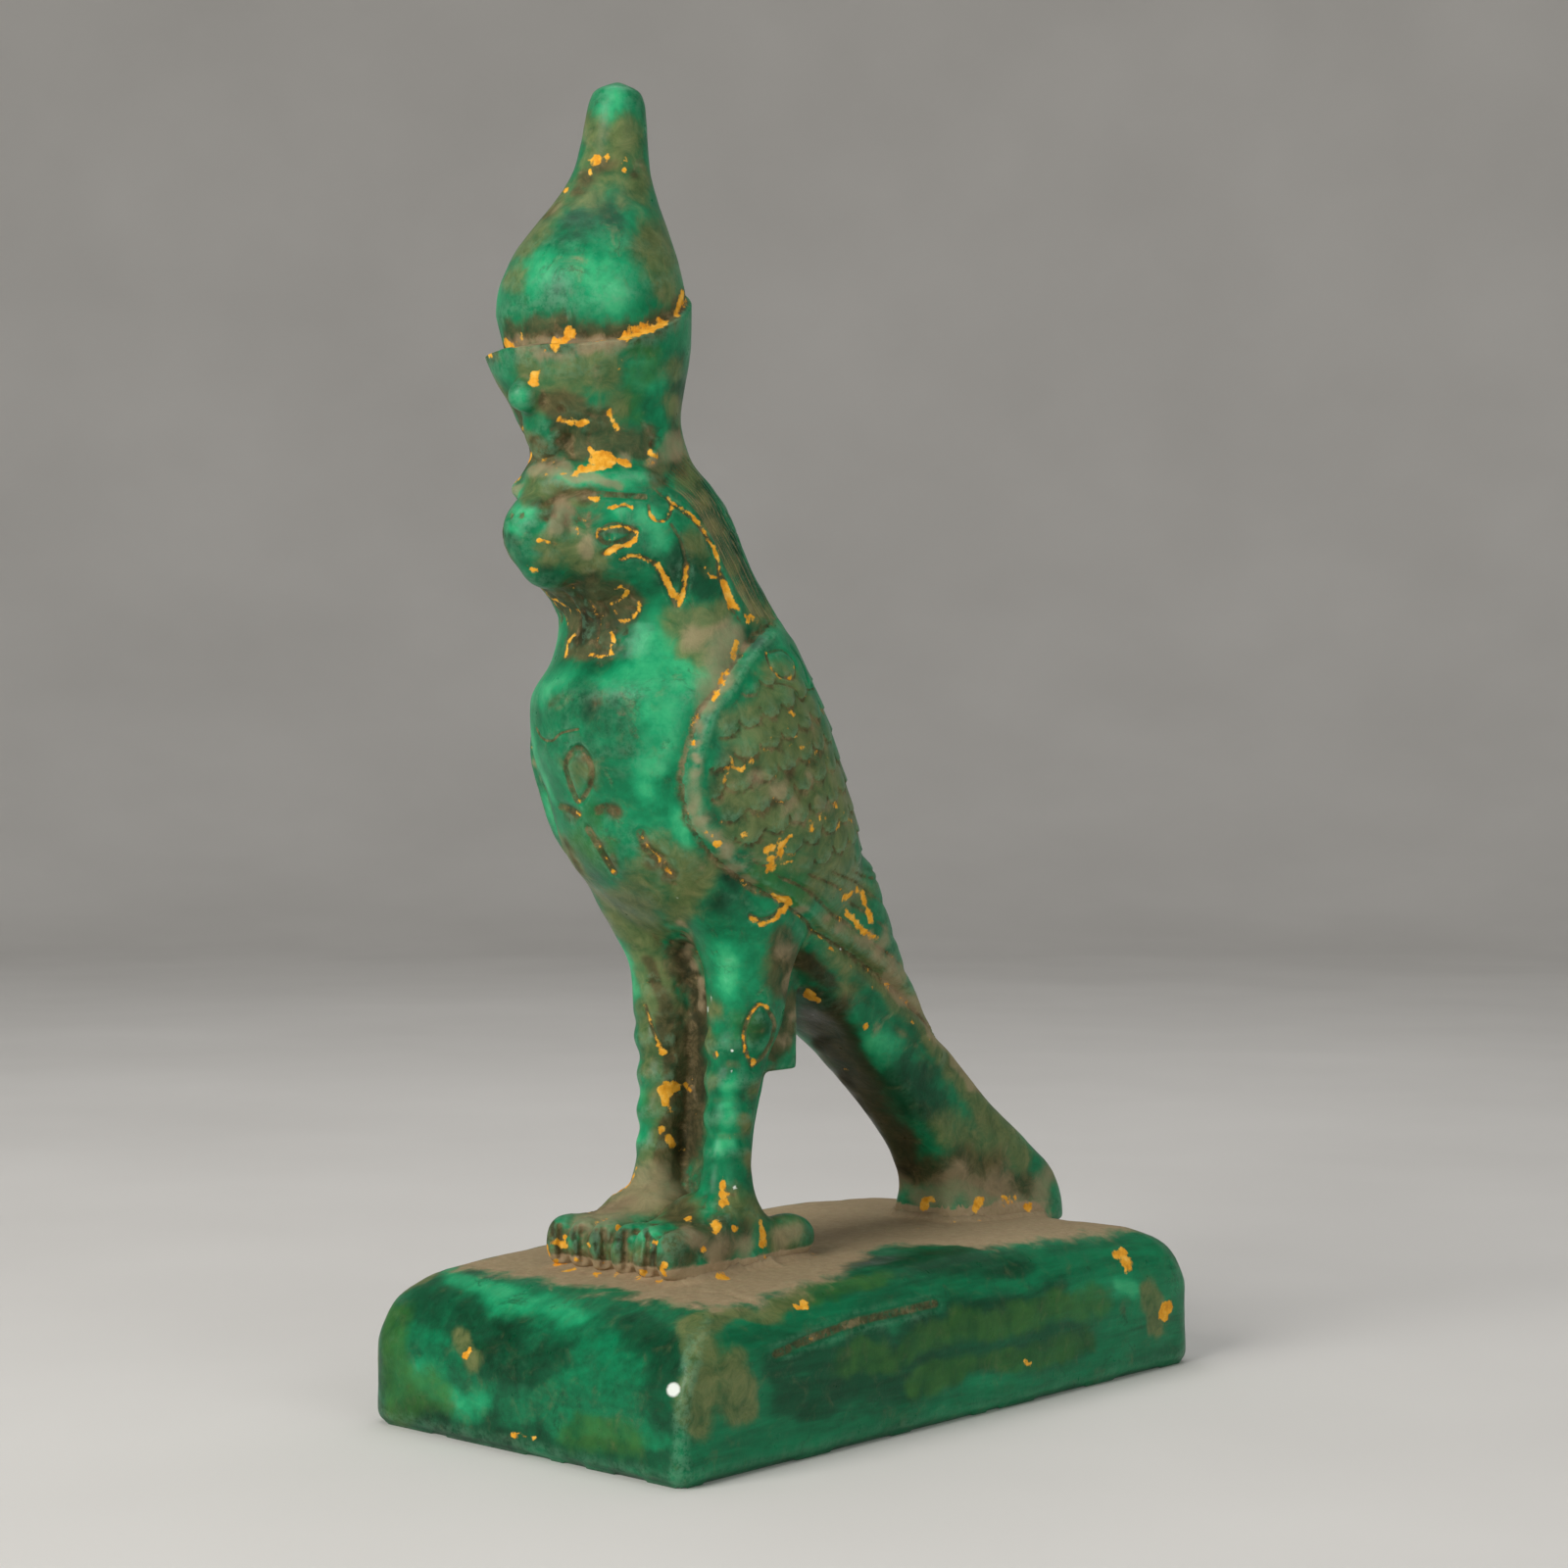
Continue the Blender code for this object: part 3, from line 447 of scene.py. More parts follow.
# Patches at pixels of the photograph: kind, and each patch's pixel and radius in pixels
patches = {
    "ochre": (
        (610, 162, 5), (619, 161, 4), (603, 176, 3), (637, 173, 3), (638, 163, 2), (578, 194, 3),
        (604, 166, 3), (589, 831, 3), (627, 890, 3), (707, 750, 2), (706, 758, 3), (720, 849, 3),
        (731, 861, 5), (726, 854, 3), (676, 1073, 4), (672, 1066, 3), (680, 1113, 8), (680, 1124, 5),
        (690, 1110, 5), (698, 1108, 4), (683, 1133, 3), (675, 1153, 4), (683, 1162, 5), (686, 1168, 3),
        (732, 1076, 3), (768, 1083, 4), (737, 1209, 4), (738, 1218, 5), (738, 1227, 5), (737, 1200, 2),
        (731, 1251, 5), (729, 1257, 4), (751, 1254, 4), (703, 1244, 4), (776, 1249, 4), (778, 1260, 4),
        (779, 1270, 4), (781, 1222, 7), (790, 1224, 6), (783, 1232, 4), (718, 1275, 3), (632, 1252, 4),
        (826, 1015, 6), (833, 1020, 4), (567, 1288, 4), (553, 1269, 3), (577, 1264, 3), (588, 1286, 3),
        (601, 1269, 3), (609, 1301, 4), (629, 1303, 4), (652, 1306, 4), (656, 1299, 4), (677, 1290, 4),
        (677, 1298, 4), (668, 1268, 4), (673, 1309, 4), (734, 1303, 5), (740, 1304, 4), (526, 1464, 4),
        (535, 1465, 3), (545, 1468, 3), (473, 1381, 4), (480, 1378, 3), (1145, 1278, 5), (1149, 1287, 6),
        (1137, 1281, 4), (1151, 1295, 4), (820, 1332, 5), (813, 1333, 3), (1048, 1390, 4),
        (1190, 1335, 7), (1188, 1344, 6), (943, 1229, 6), (951, 1223, 4), (995, 1233, 5), (1001, 1226, 5),
        (1026, 1226, 6), (1034, 1225, 5), (1049, 1232, 5), (882, 1048, 3), (862, 1091, 3),
    ),
    # Lighter green: partly paler stone and partly painted highlights on the crown, brow, breast and legs
    "mint_and_highlight": (
        (615, 274, 26), (622, 294, 12), (600, 288, 9), (553, 278, 16), (632, 100, 9), (622, 112, 10),
        (690, 668, 30), (672, 700, 26), (660, 672, 18), (640, 690, 16), (676, 732, 14), (672, 755, 14),
        (668, 780, 13), (664, 803, 11), (617, 699, 14), (694, 830, 7), (700, 846, 8), (706, 862, 6),
        (712, 690, 16), (575, 495, 10), (600, 489, 11), (626, 487, 11), (650, 490, 9), (534, 519, 10),
        (526, 538, 7), (533, 405, 8), (659, 535, 11), (671, 548, 12), (626, 521, 7), (650, 528, 8),
        (655, 392, 12), (650, 370, 9), (742, 976, 14), (738, 1000, 12), (745, 1108, 9), (739, 1130, 8),
        (746, 1148, 8), (742, 1168, 7), (890, 1062, 12), (905, 1075, 10), (660, 1262, 12), (800, 700, 12),
        (765, 760, 10),
    ),
    "deep": (
        (596, 238, 16), (624, 216, 12), (598, 724, 9), (755, 903, 9), (776, 653, 11), (677, 800, 8),
        (520, 550, 7), (562, 582, 10), (600, 580, 12), (700, 575, 16), (716, 592, 14), (684, 585, 12),
        (690, 400, 11), (692, 370, 9), (660, 250, 12), (775, 1042, 13), (768, 1055, 8), (930, 1112, 20),
        (945, 1130, 16), (912, 1092, 12), (740, 925, 8), (745, 780, 12), (740, 805, 12), (735, 830, 10),
        (590, 1300, 10), (660, 1300, 8), (610, 1262, 8),
    ),
    "leaf": (
        (652, 352, 10), (655, 380, 13), (650, 405, 11), (646, 425, 8), (640, 345, 10), (800, 890, 20),
        (815, 905, 15), (780, 895, 12), (590, 862, 16), (612, 872, 14), (600, 830, 12), (800, 1240, 16),
        (820, 1238, 12), (680, 1160, 12), (665, 1130, 12), (650, 1080, 10), (765, 1045, 14),
        (790, 1075, 10),
    ),
    "olive": (
        (548, 232, 16), (565, 210, 14), (532, 256, 12), (525, 290, 10), (666, 246, 18), (676, 272, 16),
        (680, 295, 12), (600, 205, 14), (627, 150, 20), (610, 176, 16), (650, 190, 16), (640, 130, 12),
        (610, 130, 10), (586, 377, 18), (616, 388, 15), (566, 405, 16), (542, 372, 14), (606, 360, 16),
        (630, 420, 14), (684, 378, 12), (686, 420, 12), (560, 560, 14), (591, 561, 16), (612, 572, 12),
        (545, 500, 10), (540, 455, 14), (700, 480, 14), (715, 510, 9), (730, 540, 8), (745, 570, 8),
        (758, 600, 8), (775, 622, 13), (715, 560, 14), (700, 640, 16), (724, 630, 16), (720, 660, 14),
        (672, 868, 16), (690, 885, 20), (710, 905, 18), (650, 905, 18), (690, 928, 16), (635, 915, 12),
        (732, 888, 12), (590, 785, 15), (745, 850, 10), (745, 745, 14), (760, 800, 26), (790, 770, 28),
        (820, 800, 28), (790, 840, 28), (830, 845, 28), (855, 880, 22), (862, 830, 24), (800, 735, 24),
        (826, 757, 22), (792, 700, 18), (815, 715, 18), (770, 830, 18), (775, 745, 18), (845, 790, 20),
        (840, 940, 18), (866, 966, 18), (890, 985, 18), (906, 1002, 14), (870, 905, 16), (835, 900, 12),
        (655, 960, 14), (665, 1000, 14), (668, 1040, 14), (672, 1080, 14), (676, 1120, 14),
        (678, 1160, 14), (668, 1190, 14), (655, 925, 14), (790, 985, 12), (775, 1110, 9), (765, 1150, 8),
        (762, 1180, 8), (722, 1060, 10), (728, 1030, 8), (725, 1100, 7), (835, 1045, 14), (850, 1075, 14),
        (870, 1105, 14), (890, 1135, 14), (910, 1165, 14), (925, 1195, 14), (860, 1010, 12),
        (960, 1150, 16), (985, 1165, 16), (1010, 1180, 14), (600, 1290, 14), (640, 1290, 14),
        (575, 1275, 12), (620, 1268, 12), (770, 1240, 16), (750, 1230, 12), (800, 1270, 14),
    ),
    # Brown stain, and painted shade in the recess between the legs
    "brown_and_shade": (
        (545, 332, 9), (575, 336, 9), (605, 337, 8), (635, 331, 8), (660, 323, 7), (682, 311, 7),
        (520, 340, 8), (600, 180, 8), (617, 166, 8), (590, 196, 7), (561, 215, 7), (642, 178, 6),
        (582, 446, 13), (600, 440, 12), (572, 430, 9), (560, 470, 13), (548, 450, 8), (618, 438, 10),
        (590, 462, 8), (570, 418, 6), (690, 440, 8), (685, 470, 10), (668, 480, 10), (672, 495, 9),
        (655, 460, 6), (556, 525, 9), (545, 514, 5), (598, 512, 7), (575, 515, 9), (585, 608, 15),
        (606, 618, 15), (600, 642, 16), (590, 652, 12), (612, 652, 10), (626, 604, 12), (642, 618, 13),
        (632, 632, 10), (574, 612, 9), (610, 590, 8), (621, 825, 8), (579, 826, 7), (610, 862, 6),
        (622, 882, 5), (611, 722, 6), (590, 768, 6), (598, 800, 4), (660, 860, 6), (672, 880, 7),
        (684, 895, 5), (770, 782, 5), (800, 790, 6), (812, 812, 5), (782, 812, 5), (830, 775, 5),
        (690, 970, 10), (696, 990, 10), (705, 1010, 9), (710, 1050, 8), (712, 1100, 8), (708, 1150, 8),
        (700, 1190, 10), (690, 1060, 9), (697, 1110, 8), (695, 1160, 9), (795, 960, 12), (800, 1000, 12),
        (808, 1035, 10), (800, 1070, 8), (785, 1085, 8), (830, 985, 12), (850, 1030, 12), (838, 1065, 8),
        (860, 1098, 8), (880, 1130, 8), (900, 1160, 9), (918, 1190, 9), (900, 1180, 8), (980, 1190, 16),
        (950, 1195, 12), (1010, 1195, 14), (1045, 1210, 12), (716, 1265, 12), (740, 1275, 10),
        (700, 1285, 8), (590, 1310, 6), (690, 1270, 8), (735, 1250, 10), (760, 1262, 10),
    ),
    "dust": (
        (530, 352, 7), (590, 352, 7), (610, 351, 6), (628, 347, 6), (582, 536, 9), (572, 530, 10),
        (565, 540, 8), (600, 555, 8), (560, 488, 8), (545, 485, 8), (575, 478, 8), (640, 465, 6),
        (690, 452, 11), (702, 462, 9), (678, 458, 8), (715, 480, 8), (664, 470, 6), (757, 655, 11),
        (745, 668, 13), (733, 688, 14), (722, 704, 12), (712, 720, 8), (705, 738, 6), (702, 758, 5),
        (702, 778, 5), (705, 798, 6), (710, 818, 8), (718, 838, 8), (728, 855, 7), (740, 870, 7),
        (754, 884, 7), (770, 897, 6), (790, 910, 6), (812, 922, 6), (835, 934, 6), (856, 946, 7),
        (876, 957, 8), (895, 970, 10), (912, 985, 10), (925, 1002, 11), (936, 1022, 9), (905, 960, 8),
        (716, 650, 9), (735, 645, 9), (693, 942, 5), (700, 955, 5), (708, 968, 5), (714, 982, 5),
        (718, 998, 4), (716, 1015, 4), (714, 1030, 4), (640, 1228, 20), (662, 1215, 18), (684, 1208, 14),
        (618, 1240, 14), (600, 1243, 10), (700, 1218, 8), (800, 975, 8), (806, 1000, 7), (808, 1030, 6),
        (803, 1060, 6), (790, 1210, 10), (815, 1218, 10), (705, 1262, 10), (730, 1275, 12),
        (760, 1278, 12), (800, 1262, 10), (940, 1225, 12), (965, 1222, 14), (1000, 1225, 14),
        (1035, 1225, 12), (1065, 1220, 12), (1075, 1200, 10), (975, 1205, 12), (1020, 1205, 12),
        (790, 800, 7), (800, 820, 7), (770, 790, 6), (825, 790, 6), (840, 820, 7), (815, 835, 7),
        (695, 1330, 8),
    ),
    # Painted highlights: small white glints on the plinth's near corner, the wing's rim and the legs
    "painted_glint": (
        (687, 1418, 6), (746, 1094, 1.5), (722, 1030, 2), (726, 1020, 2), (690, 914, 2.5),
        (836, 948, 1.5), (858, 968, 1.5), (747, 1072, 1.5), (735, 712, 1), (742, 708, 1.2),
        (749, 1211, 1.5),
    ),
    "rough": (
        (590, 625, 26), (612, 645, 24), (580, 600, 16), (640, 615, 12), (575, 455, 22), (600, 440, 16),
        (560, 540, 16), (580, 530, 14), (690, 960, 16), (700, 1000, 12), (660, 1000, 12), (700, 1040, 10),
        (730, 1230, 20), (600, 1260, 26), (650, 1265, 22), (670, 880, 12), (690, 895, 12), (710, 905, 10),
    ),
}

# Broad soft bands, at pixels of the photograph: kind, and each band's half width in pixels and corners
bands = {
    # Lighter green bands: partly paler stone and partly painted highlights along the plinth's edges
    "mint_and_highlight": (
        (9, ((455, 1300), (520, 1328), (590, 1342))), (9, ((432, 1405), (462, 1425), (490, 1438))),
        (6, ((1138, 1305), (1158, 1312))),
    ),
    "deep": (
        (9, ((712, 495), (745, 555), (775, 615))),
        (8, ((420, 1442), (500, 1464), (600, 1482), (676, 1498))),
        (15, ((430, 1325), (470, 1350), (500, 1375))), (13, ((500, 1392), (540, 1400), (565, 1380))),
        (13, ((640, 1352), (676, 1372), (680, 1450))),
        (11, ((790, 1398), (900, 1370), (1000, 1346), (1080, 1322))),
        (15, ((800, 1432), (900, 1408), (1000, 1384), (1100, 1360))),
        (11, ((860, 1290), (940, 1284), (1040, 1285))),
    ),
    "leaf": (
        (12, ((405, 1340), (408, 1400), (414, 1438))), (13, ((590, 1462), (640, 1472))),
        (11, ((870, 1388), (960, 1362), (1060, 1337), (1120, 1326))),
        (9, ((930, 1412), (1030, 1387), (1110, 1362))), (8, ((800, 1334), (850, 1320), (900, 1308))),
    ),
    # Brown stain, and painted shade down the recess between the legs
    "brown_and_shade": (
        (7, ((556, 1280), (610, 1292), (680, 1296))), (9, ((925, 1195), (980, 1200), (1040, 1205))),
        (5, ((664, 980), (676, 1050), (684, 1120), (680, 1190))),
        (8, ((515, 342), (560, 343), (610, 342), (650, 332), (685, 315), (696, 302))),
        (9, ((566, 402), (580, 424), (600, 445), (625, 450), (655, 450))),
        (15, ((582, 604), (600, 614), (600, 636), (603, 655))),
        (11, ((615, 605), (635, 612), (640, 625))), (4, ((613, 547), (640, 545))),
        (8, ((592, 600), (612, 640), (600, 658))),
        (9, ((700, 960), (707, 1000), (711, 1060), (709, 1120), (704, 1190))),
        (8, ((688, 1040), (692, 1110), (690, 1180))),
        (9, ((796, 960), (804, 1000), (806, 1040), (790, 1075))),
        (10, ((690, 1232), (715, 1262), (735, 1272))), (7, ((700, 1290), (680, 1268))),
        (5, ((560, 1262), (600, 1256), (650, 1258))),
    ),
    # Painted shade: dark bands on the tail's inner face, between the legs, at the eye and throat and in the
    # toe gaps
    "shade": (
        (15, ((832, 1022), (852, 1062), (878, 1105), (902, 1150), (915, 1185))),
        (8, ((703, 975), (712, 1020), (714, 1080), (711, 1140), (706, 1180))),
        (7, ((600, 624), (596, 645))), (2, ((619, 545), (622, 550))),
        *((toe_gap_shade, gap) for gap in toe_gaps), (7, ((815, 975), (845, 1000))),
    ),
    "olive": (
        (14, ((712, 1362), (716, 1420), (712, 1460))), (11, ((745, 1390), (752, 1440))),
        (7, ((700, 1352), (760, 1342), (830, 1328))), (7, ((470, 1365), (480, 1388))),
        (7, ((1170, 1312), (1182, 1362))), (8, ((540, 508), (570, 512), (600, 516))),
        (12, ((890, 985), (930, 1030), (980, 1090), (1040, 1180))),
        (12, ((655, 935), (668, 1000), (672, 1080))), (16, ((560, 905), (600, 925), (640, 935))),
        (13, ((600, 1235), (650, 1222), (700, 1235))),
    ),
    "dust": (
        (5, ((575, 492), (600, 488), (625, 490))), (4, ((512, 352), (560, 354), (610, 350), (632, 345))),
        (6, ((905, 995), (950, 1050), (1000, 1115))),
    ),
}

# Where the dust on the plinth's top ends, at pixels of the photograph: the front edge, and the near side
dust_front = ((587, 1310), (640, 1326))
dust_side = (
    (690, 1341), (726, 1340), (771, 1328), (820, 1314), (855, 1303), (876, 1290), (897, 1274), (947, 1270),
    (996, 1272), (1031, 1272), (1094, 1263),
)
dust_back_end = 41.0 * MM
dust_height = 1.6 * MM
dust_fade = 1.2 * MM

no_pigment = -2.0
full_pigment = 1.0

# Depth along the look counts this much for a mark's reach, so that a mark on a slant keeps its drawn width
depth_share = 0.35

# A soft patch is full out to the first of these and gone at the second, in shares of its radius
soft_inner = 0.2
soft_outer = 2.1

# Reach of a line's relief and of a strand's colour in half widths, and a curve's pieces between corners
line_reach = 2.0
strand_reach = 1.0
line_pieces = 5

# Pigment: growth of its spots, and the millimetres that its edge draws in where a line holds less of it
pigment_spread = 1.05
pigment_hold = 0.35

# What lies outside the pigment or the dust counts as this far out, in millimetres
far_outside = 2.0

# The far side mirrors what is farther out than this, with patches shifted so that the sides aren't alike
far_side_from = 3.0 * MM
far_side_shift = 3.0 * MM
far_side_shift_pitch = 9.0 * MM
# The painted glints stay on the near side only
one_sided_kind = "painted_glint"

# Ragged edges: how far noise moves the places where patches and pigment are read, and its pitch
patch_warps = ((1.6 * MM, 6.0 * MM), (0.6 * MM, 1.8 * MM))
pigment_warps = ((0.3 * MM, 1.1 * MM),)

# Seed of the noise that shifts and warps the patches, so that each run gives the same ones
noise_seed = 1

# Noise on the skins: how fast its octaves fade and shrink
noise_shape = (1.0, 2.0)

# Wear and roughness of the skins
refined_reach = 0.9 * MM
skin_wear = 0.1 * MM
skin_wear_pitch = 6.0 * MM
skin_wear_octaves = 3
rough_depth = 0.5 * MM
rough_pitch = 1.6 * MM
rough_octaves = 2
plinth_voxel = 0.45 * MM
plinth_blending_passes = 4
plinth_wear = 0.2 * MM
plinth_wear_pitch = 11.0 * MM
plinth_wear_octaves = 4
chip_depth = 0.5 * MM
chip_pitch = 3.5 * MM
chip_octaves = 2
chip_rarity = 0.75

# Dust heaped where the falcon meets the plinth, and the height under which the underside is made flat
heap_below = 3.0 * MM
heap_radius = 1.2 * MM
underside_snap = 0.3 * MM

# Ridges and grooves are measured against the skin evened out so often, and count in full at this many mm
evening_passes = 8
full_relief = 0.12

# Looks out of each point of the skin, to find how sheltered it is
shelter_looks = 26
shelter_grazing = 0.15
shelter_lift = 0.15 * MM
shelter_reach = 14.0 * MM

# Colours of the stone from dark to light, of what lies on it, of painted shade and painted highlights, and
# of the floor
stone_tones = (
    (0.15, (0.001, 0.036, 0.013)),
    (0.33, (0.003, 0.09, 0.036)),
    (0.5, (0.003, 0.19, 0.076)),
    (0.65, (0.01, 0.3, 0.125)),
    (0.8, (0.045, 0.43, 0.185)),
    (0.97, (0.15, 0.57, 0.31)),
)
leaf_tones = ((0.35, (0.012, 0.085, 0.015)), (0.65, (0.05, 0.17, 0.025)))
olive_tones = ((0.35, (0.06, 0.09, 0.026)), (0.65, (0.19, 0.205, 0.072)))
shade_tones = ((0.35, (0.01, 0.013, 0.004)), (0.65, (0.045, 0.038, 0.014)))
dirt_and_shade_tones = ((0.35, (0.035, 0.03, 0.012)), (0.5, (0.1, 0.075, 0.03)), (0.65, (0.24, 0.18, 0.09)))
brown_and_shade_tones = ((0.35, (0.028, 0.025, 0.009)), (0.65, (0.12, 0.09, 0.036)))
dust_tones = ((0.2, (0.27, 0.2, 0.115)), (0.5, (0.34, 0.255, 0.15)), (0.8, (0.42, 0.325, 0.2)))
pigment_tones = ((0.3, (0.6, 0.24, 0.015)), (0.5, (0.8, 0.38, 0.03)), (0.7, (0.88, 0.52, 0.1)))
floor_tones = ((0.3, (0.68, 0.67, 0.65)), (0.7, (0.74, 0.73, 0.71)))
strand_color = (0.3, 0.24, 0.12)
vein_color = (0.002, 0.035, 0.018)
# Pale ridges: partly wear and partly painted highlight
worn_highlight_color = (0.16, 0.36, 0.22)
glint_color = (0.75, 0.8, 0.75)

# Noise in the materials: scale, detail, roughness and distortion
clouds = {
    "broad": (62.0, 4.0, 0.55, 0.5),
    "middling": (190.0, 6.0, 0.62, 0.8),
    "grainy": (700.0, 5.0, 0.65, 0.3),
    "patchy": (240.0, 5.0, 0.65, 0.4),
    "blotches": (420.0, 6.0, 0.7, 0.6),
    "speckle": (1300.0, 4.0, 0.7, 0.0),
    "veins": (130.0, 5.0, 0.6, 1.6),
    "edges": (1100.0, 4.0, 0.6, 0.0),
    "flecks": (380.0, 4.0, 0.7, 0.0),
    "pigment": (900.0, 4.0, 0.6, 0.0),
    "gloss": (330.0, 4.0, 0.6, 0.0),
    "paper": (9.0, 3.0, 0.5, 0.0),
    "tooth": (900.0, 2.0, 0.5, 0.0),
}

# Marbling: how far its clouds swing the tone, and how far the lighter and deeper patches do; the lighter
# ones are partly paler stone and partly painted highlights
marbling = (("broad", 0.5), ("middling", 0.55))
grainy_swing = 0.3
tints = {"mint_and_highlight": 0.37, "deep": -0.26}

# Tone and contrast of each piece's marbling, and how it is stretched and tilted
falcon_look = (0.46, 0.8, (1.0, 1.0, 1.0), (0.0, 0.0, 0.0))
plinth_look = (0.42, 0.65, (1.2, 0.25, 1.6), (math.radians(-12.0), 0.0, 0.0))

# Stains and painted shade: how strong each one is, the cloud that breaks it up and its colours; the shade
# kind is painted shade and the brown kind is partly painted shade
stains = {
    "leaf": (0.65, "patchy", leaf_tones),
    "olive": (0.8, "blotches", olive_tones),
    "brown_and_shade": (0.8, "blotches", brown_and_shade_tones),
    "shade": (0.85, "blotches", shade_tones),
    "dust": (0.6, "blotches", dust_tones),
}
stain_blotchiness = 0.9

# Where each layer starts to show and where it is full, in its own field or cloud
vein_width = (0.004, 0.03)
vein_places = (0.5, 0.68)
groove_limits = (0.12, 0.75)
ridge_limits = (0.15, 0.8)
worn_highlight_speckle = (0.35, 0.6)
shelter_limits = (0.25, 0.8)
cut_limits = (0.35, 0.8)
dirt_and_shade_speckle = (0.25, 0.55)
cover_limits = (-1.2, 1.8)
pigment_limits = (-0.06, 0.12)
fleck_limits = (0.62, 0.68)
fleck_speckle = (0.4, 0.5)
glint_limits = (0.3, 0.7)

# How strong each layer is, and how far noise moves the edges of the dust and the pigment, in millimetres
vein_share = 0.5
worn_highlight_share = 0.3
shelter_shade_share = 0.8
dirt_and_shade_share = 0.8
strand_share = 0.9
cover_share = 0.96
cover_patchiness = 9.0
pigment_raggedness = 1.1

# Gloss, and bumps too small for the mesh
stone_roughness = 0.36
roughness_swing = 0.5
matt_roughness = 0.5
dirt_and_shade_matt = 0.7
polished_grain = 0.25
blotch_grain = 0.8
grain_strength = 0.35
tooth_strength = 0.05
paper_roughness = 0.9
bump_height = 0.25 * MM

# The stone's shine and the light that enters it
stone_shine = {
    "Specular IOR Level": 0.18,
    "Subsurface Weight": 0.1,
    "Subsurface Radius": (0.4, 1.0, 0.6),
    "Subsurface Scale": 1.5 * MM,
}

# Round floor and wall
cove_flat = 0.9
cove_bend = 0.5
cove_wall = 1.8
cove_steps = 12
cove_sides = 96

# Soft lights: name, place, size, power and colour
light_aim = (0.0, 0.0, 0.07)
studio_lights = (
    ("key", (0.0, -0.72, 0.42), 0.42, 5.2, (1.0, 0.97, 0.93)),
    ("fill", (0.8, -0.15, 0.3), 0.6, 2.0, (1.0, 1.0, 1.0)),
    ("top", (-0.1, 0.1, 0.9), 0.7, 2.5, (1.0, 1.0, 1.0)),
)
ambient_color = (1.0, 0.98, 0.94, 1.0)
ambient_strength = 0.12

# A line laid on the skin, and a patch on it, in metres, each with the look that it is drawn along
Line = namedtuple("Line", "points look half_width height pigment")
Spot = namedtuple("Spot", "middle look radius")


def steady_slopes(places, values):
    """Slopes at the stations for a curve that never overshoots between them."""
    gaps = np.diff(places)
    rises = np.diff(values, axis=0) / gaps[:, None]
    slopes = np.zeros_like(values)
    slopes[0] = rises[0]
    slopes[-1] = rises[-1]
    before, after = rises[:-1], rises[1:]
    same_way = before * after > 0
    total = np.where(same_way, before + after, 1.0)
    slopes[1:-1] = np.where(same_way, 2.0 * before * after / total, 0.0)
    return slopes


def follow(stations, place):
    """Values between the stations at one place, along a smooth curve."""
    table = np.array(sorted(stations))
    places, values = table[:, 0], table[:, 1:]
    slopes = steady_slopes(places, values)
    step = int(np.clip(np.searchsorted(places, place) - 1, 0, len(places) - 2))
    gap = places[step + 1] - places[step]
    t = (place - places[step]) / gap
    start = (2 * t**3 - 3 * t**2 + 1) * values[step] + (t**3 - 2 * t**2 + t) * gap * slopes[step]
    end = (3 * t**2 - 2 * t**3) * values[step + 1] + (t**3 - t**2) * gap * slopes[step + 1]
    return start + end


def rounded_ring(side_middle, forward_middle, half_side, half_forward, square_front, square_back):
    """A closed oval in plan, squarer where its number is over 2, as side and forward pairs."""
    ring = []
    for step in range(ring_points):
        angle = 2.0 * math.pi * step / ring_points
        across, along = math.cos(angle), math.sin(angle)
        power = 2.0 / (square_front if along < 0 else square_back)
        side = side_middle + half_side * math.copysign(abs(across) ** power, across)
        forward = forward_middle + half_forward * math.copysign(abs(along) ** power, along)
        ring.append((side, forward))
    return ring


def mesh_object(name, shape, collection):
    """A new object in the collection from a bmesh, which is freed."""
    mesh = bpy.data.meshes.new(name)
    bmesh.ops.recalc_face_normals(shape, faces=shape.faces)
    shape.to_mesh(mesh)
    shape.free()
    thing = bpy.data.objects.new(name, mesh)
    collection.objects.link(thing)
    return thing


def loft(name, rings, collection):
    """A closed solid through rings of points that lie one above the other."""
    shape = bmesh.new()
    loops = [[shape.verts.new(point) for point in ring] for ring in rings]
    count = len(loops[0])
    for lower, upper in zip(loops, loops[1:]):
        for step in range(count):
            following = (step + 1) % count
            shape.faces.new((lower[step], lower[following], upper[following], upper[step]))
    shape.faces.new(loops[0])
    shape.faces.new(loops[-1])
    return mesh_object(name, shape, collection)


def place_on_plinth(side, forward, height):
    """A point of the falcon in metres, from hundredths of its height."""
    return Vector((side * UNIT, forward * UNIT + falcon_setback, height * UNIT + plinth_height))


def places_between(stations, spacing):
    """Evenly spaced places from the stations' first to their last."""
    places = [row[0] for row in stations]
    count = int(math.ceil((max(places) - min(places)) / spacing))
    return np.linspace(min(places), max(places), count + 1)


def upright_loft(name, stations, read_row, collection):
    """A loft with a flat ring at each height, whose oval read_row gives from the stations' values."""
    rings = []
    for height in places_between(stations, ring_spacing):
        oval = rounded_ring(*read_row(*follow(stations, height)))
        rings.append([place_on_plinth(side, forward, height) for side, forward in oval])
    return loft(name, rings, collection)


def body_row(front, back, half_width, square_front, square_back):
    return 0.0, (front + back) / 2, half_width, (back - front) / 2, square_front, square_back


def tail_row(front, back, half_width):
    return 0.0, (front + back) / 2, half_width, (back - front) / 2, tail_squareness, tail_squareness


def web_row(front, back):
    return 0.0, (front + back) / 2, web_half_width, (back - front) / 2, web_squareness, web_squareness


def leg_row(hand, front, back, inner, outer):
    middle, half_width = hand * (inner + outer) / 2, (outer - inner) / 2
    return middle, (front + back) / 2, half_width, (back - front) / 2, *leg_squareness


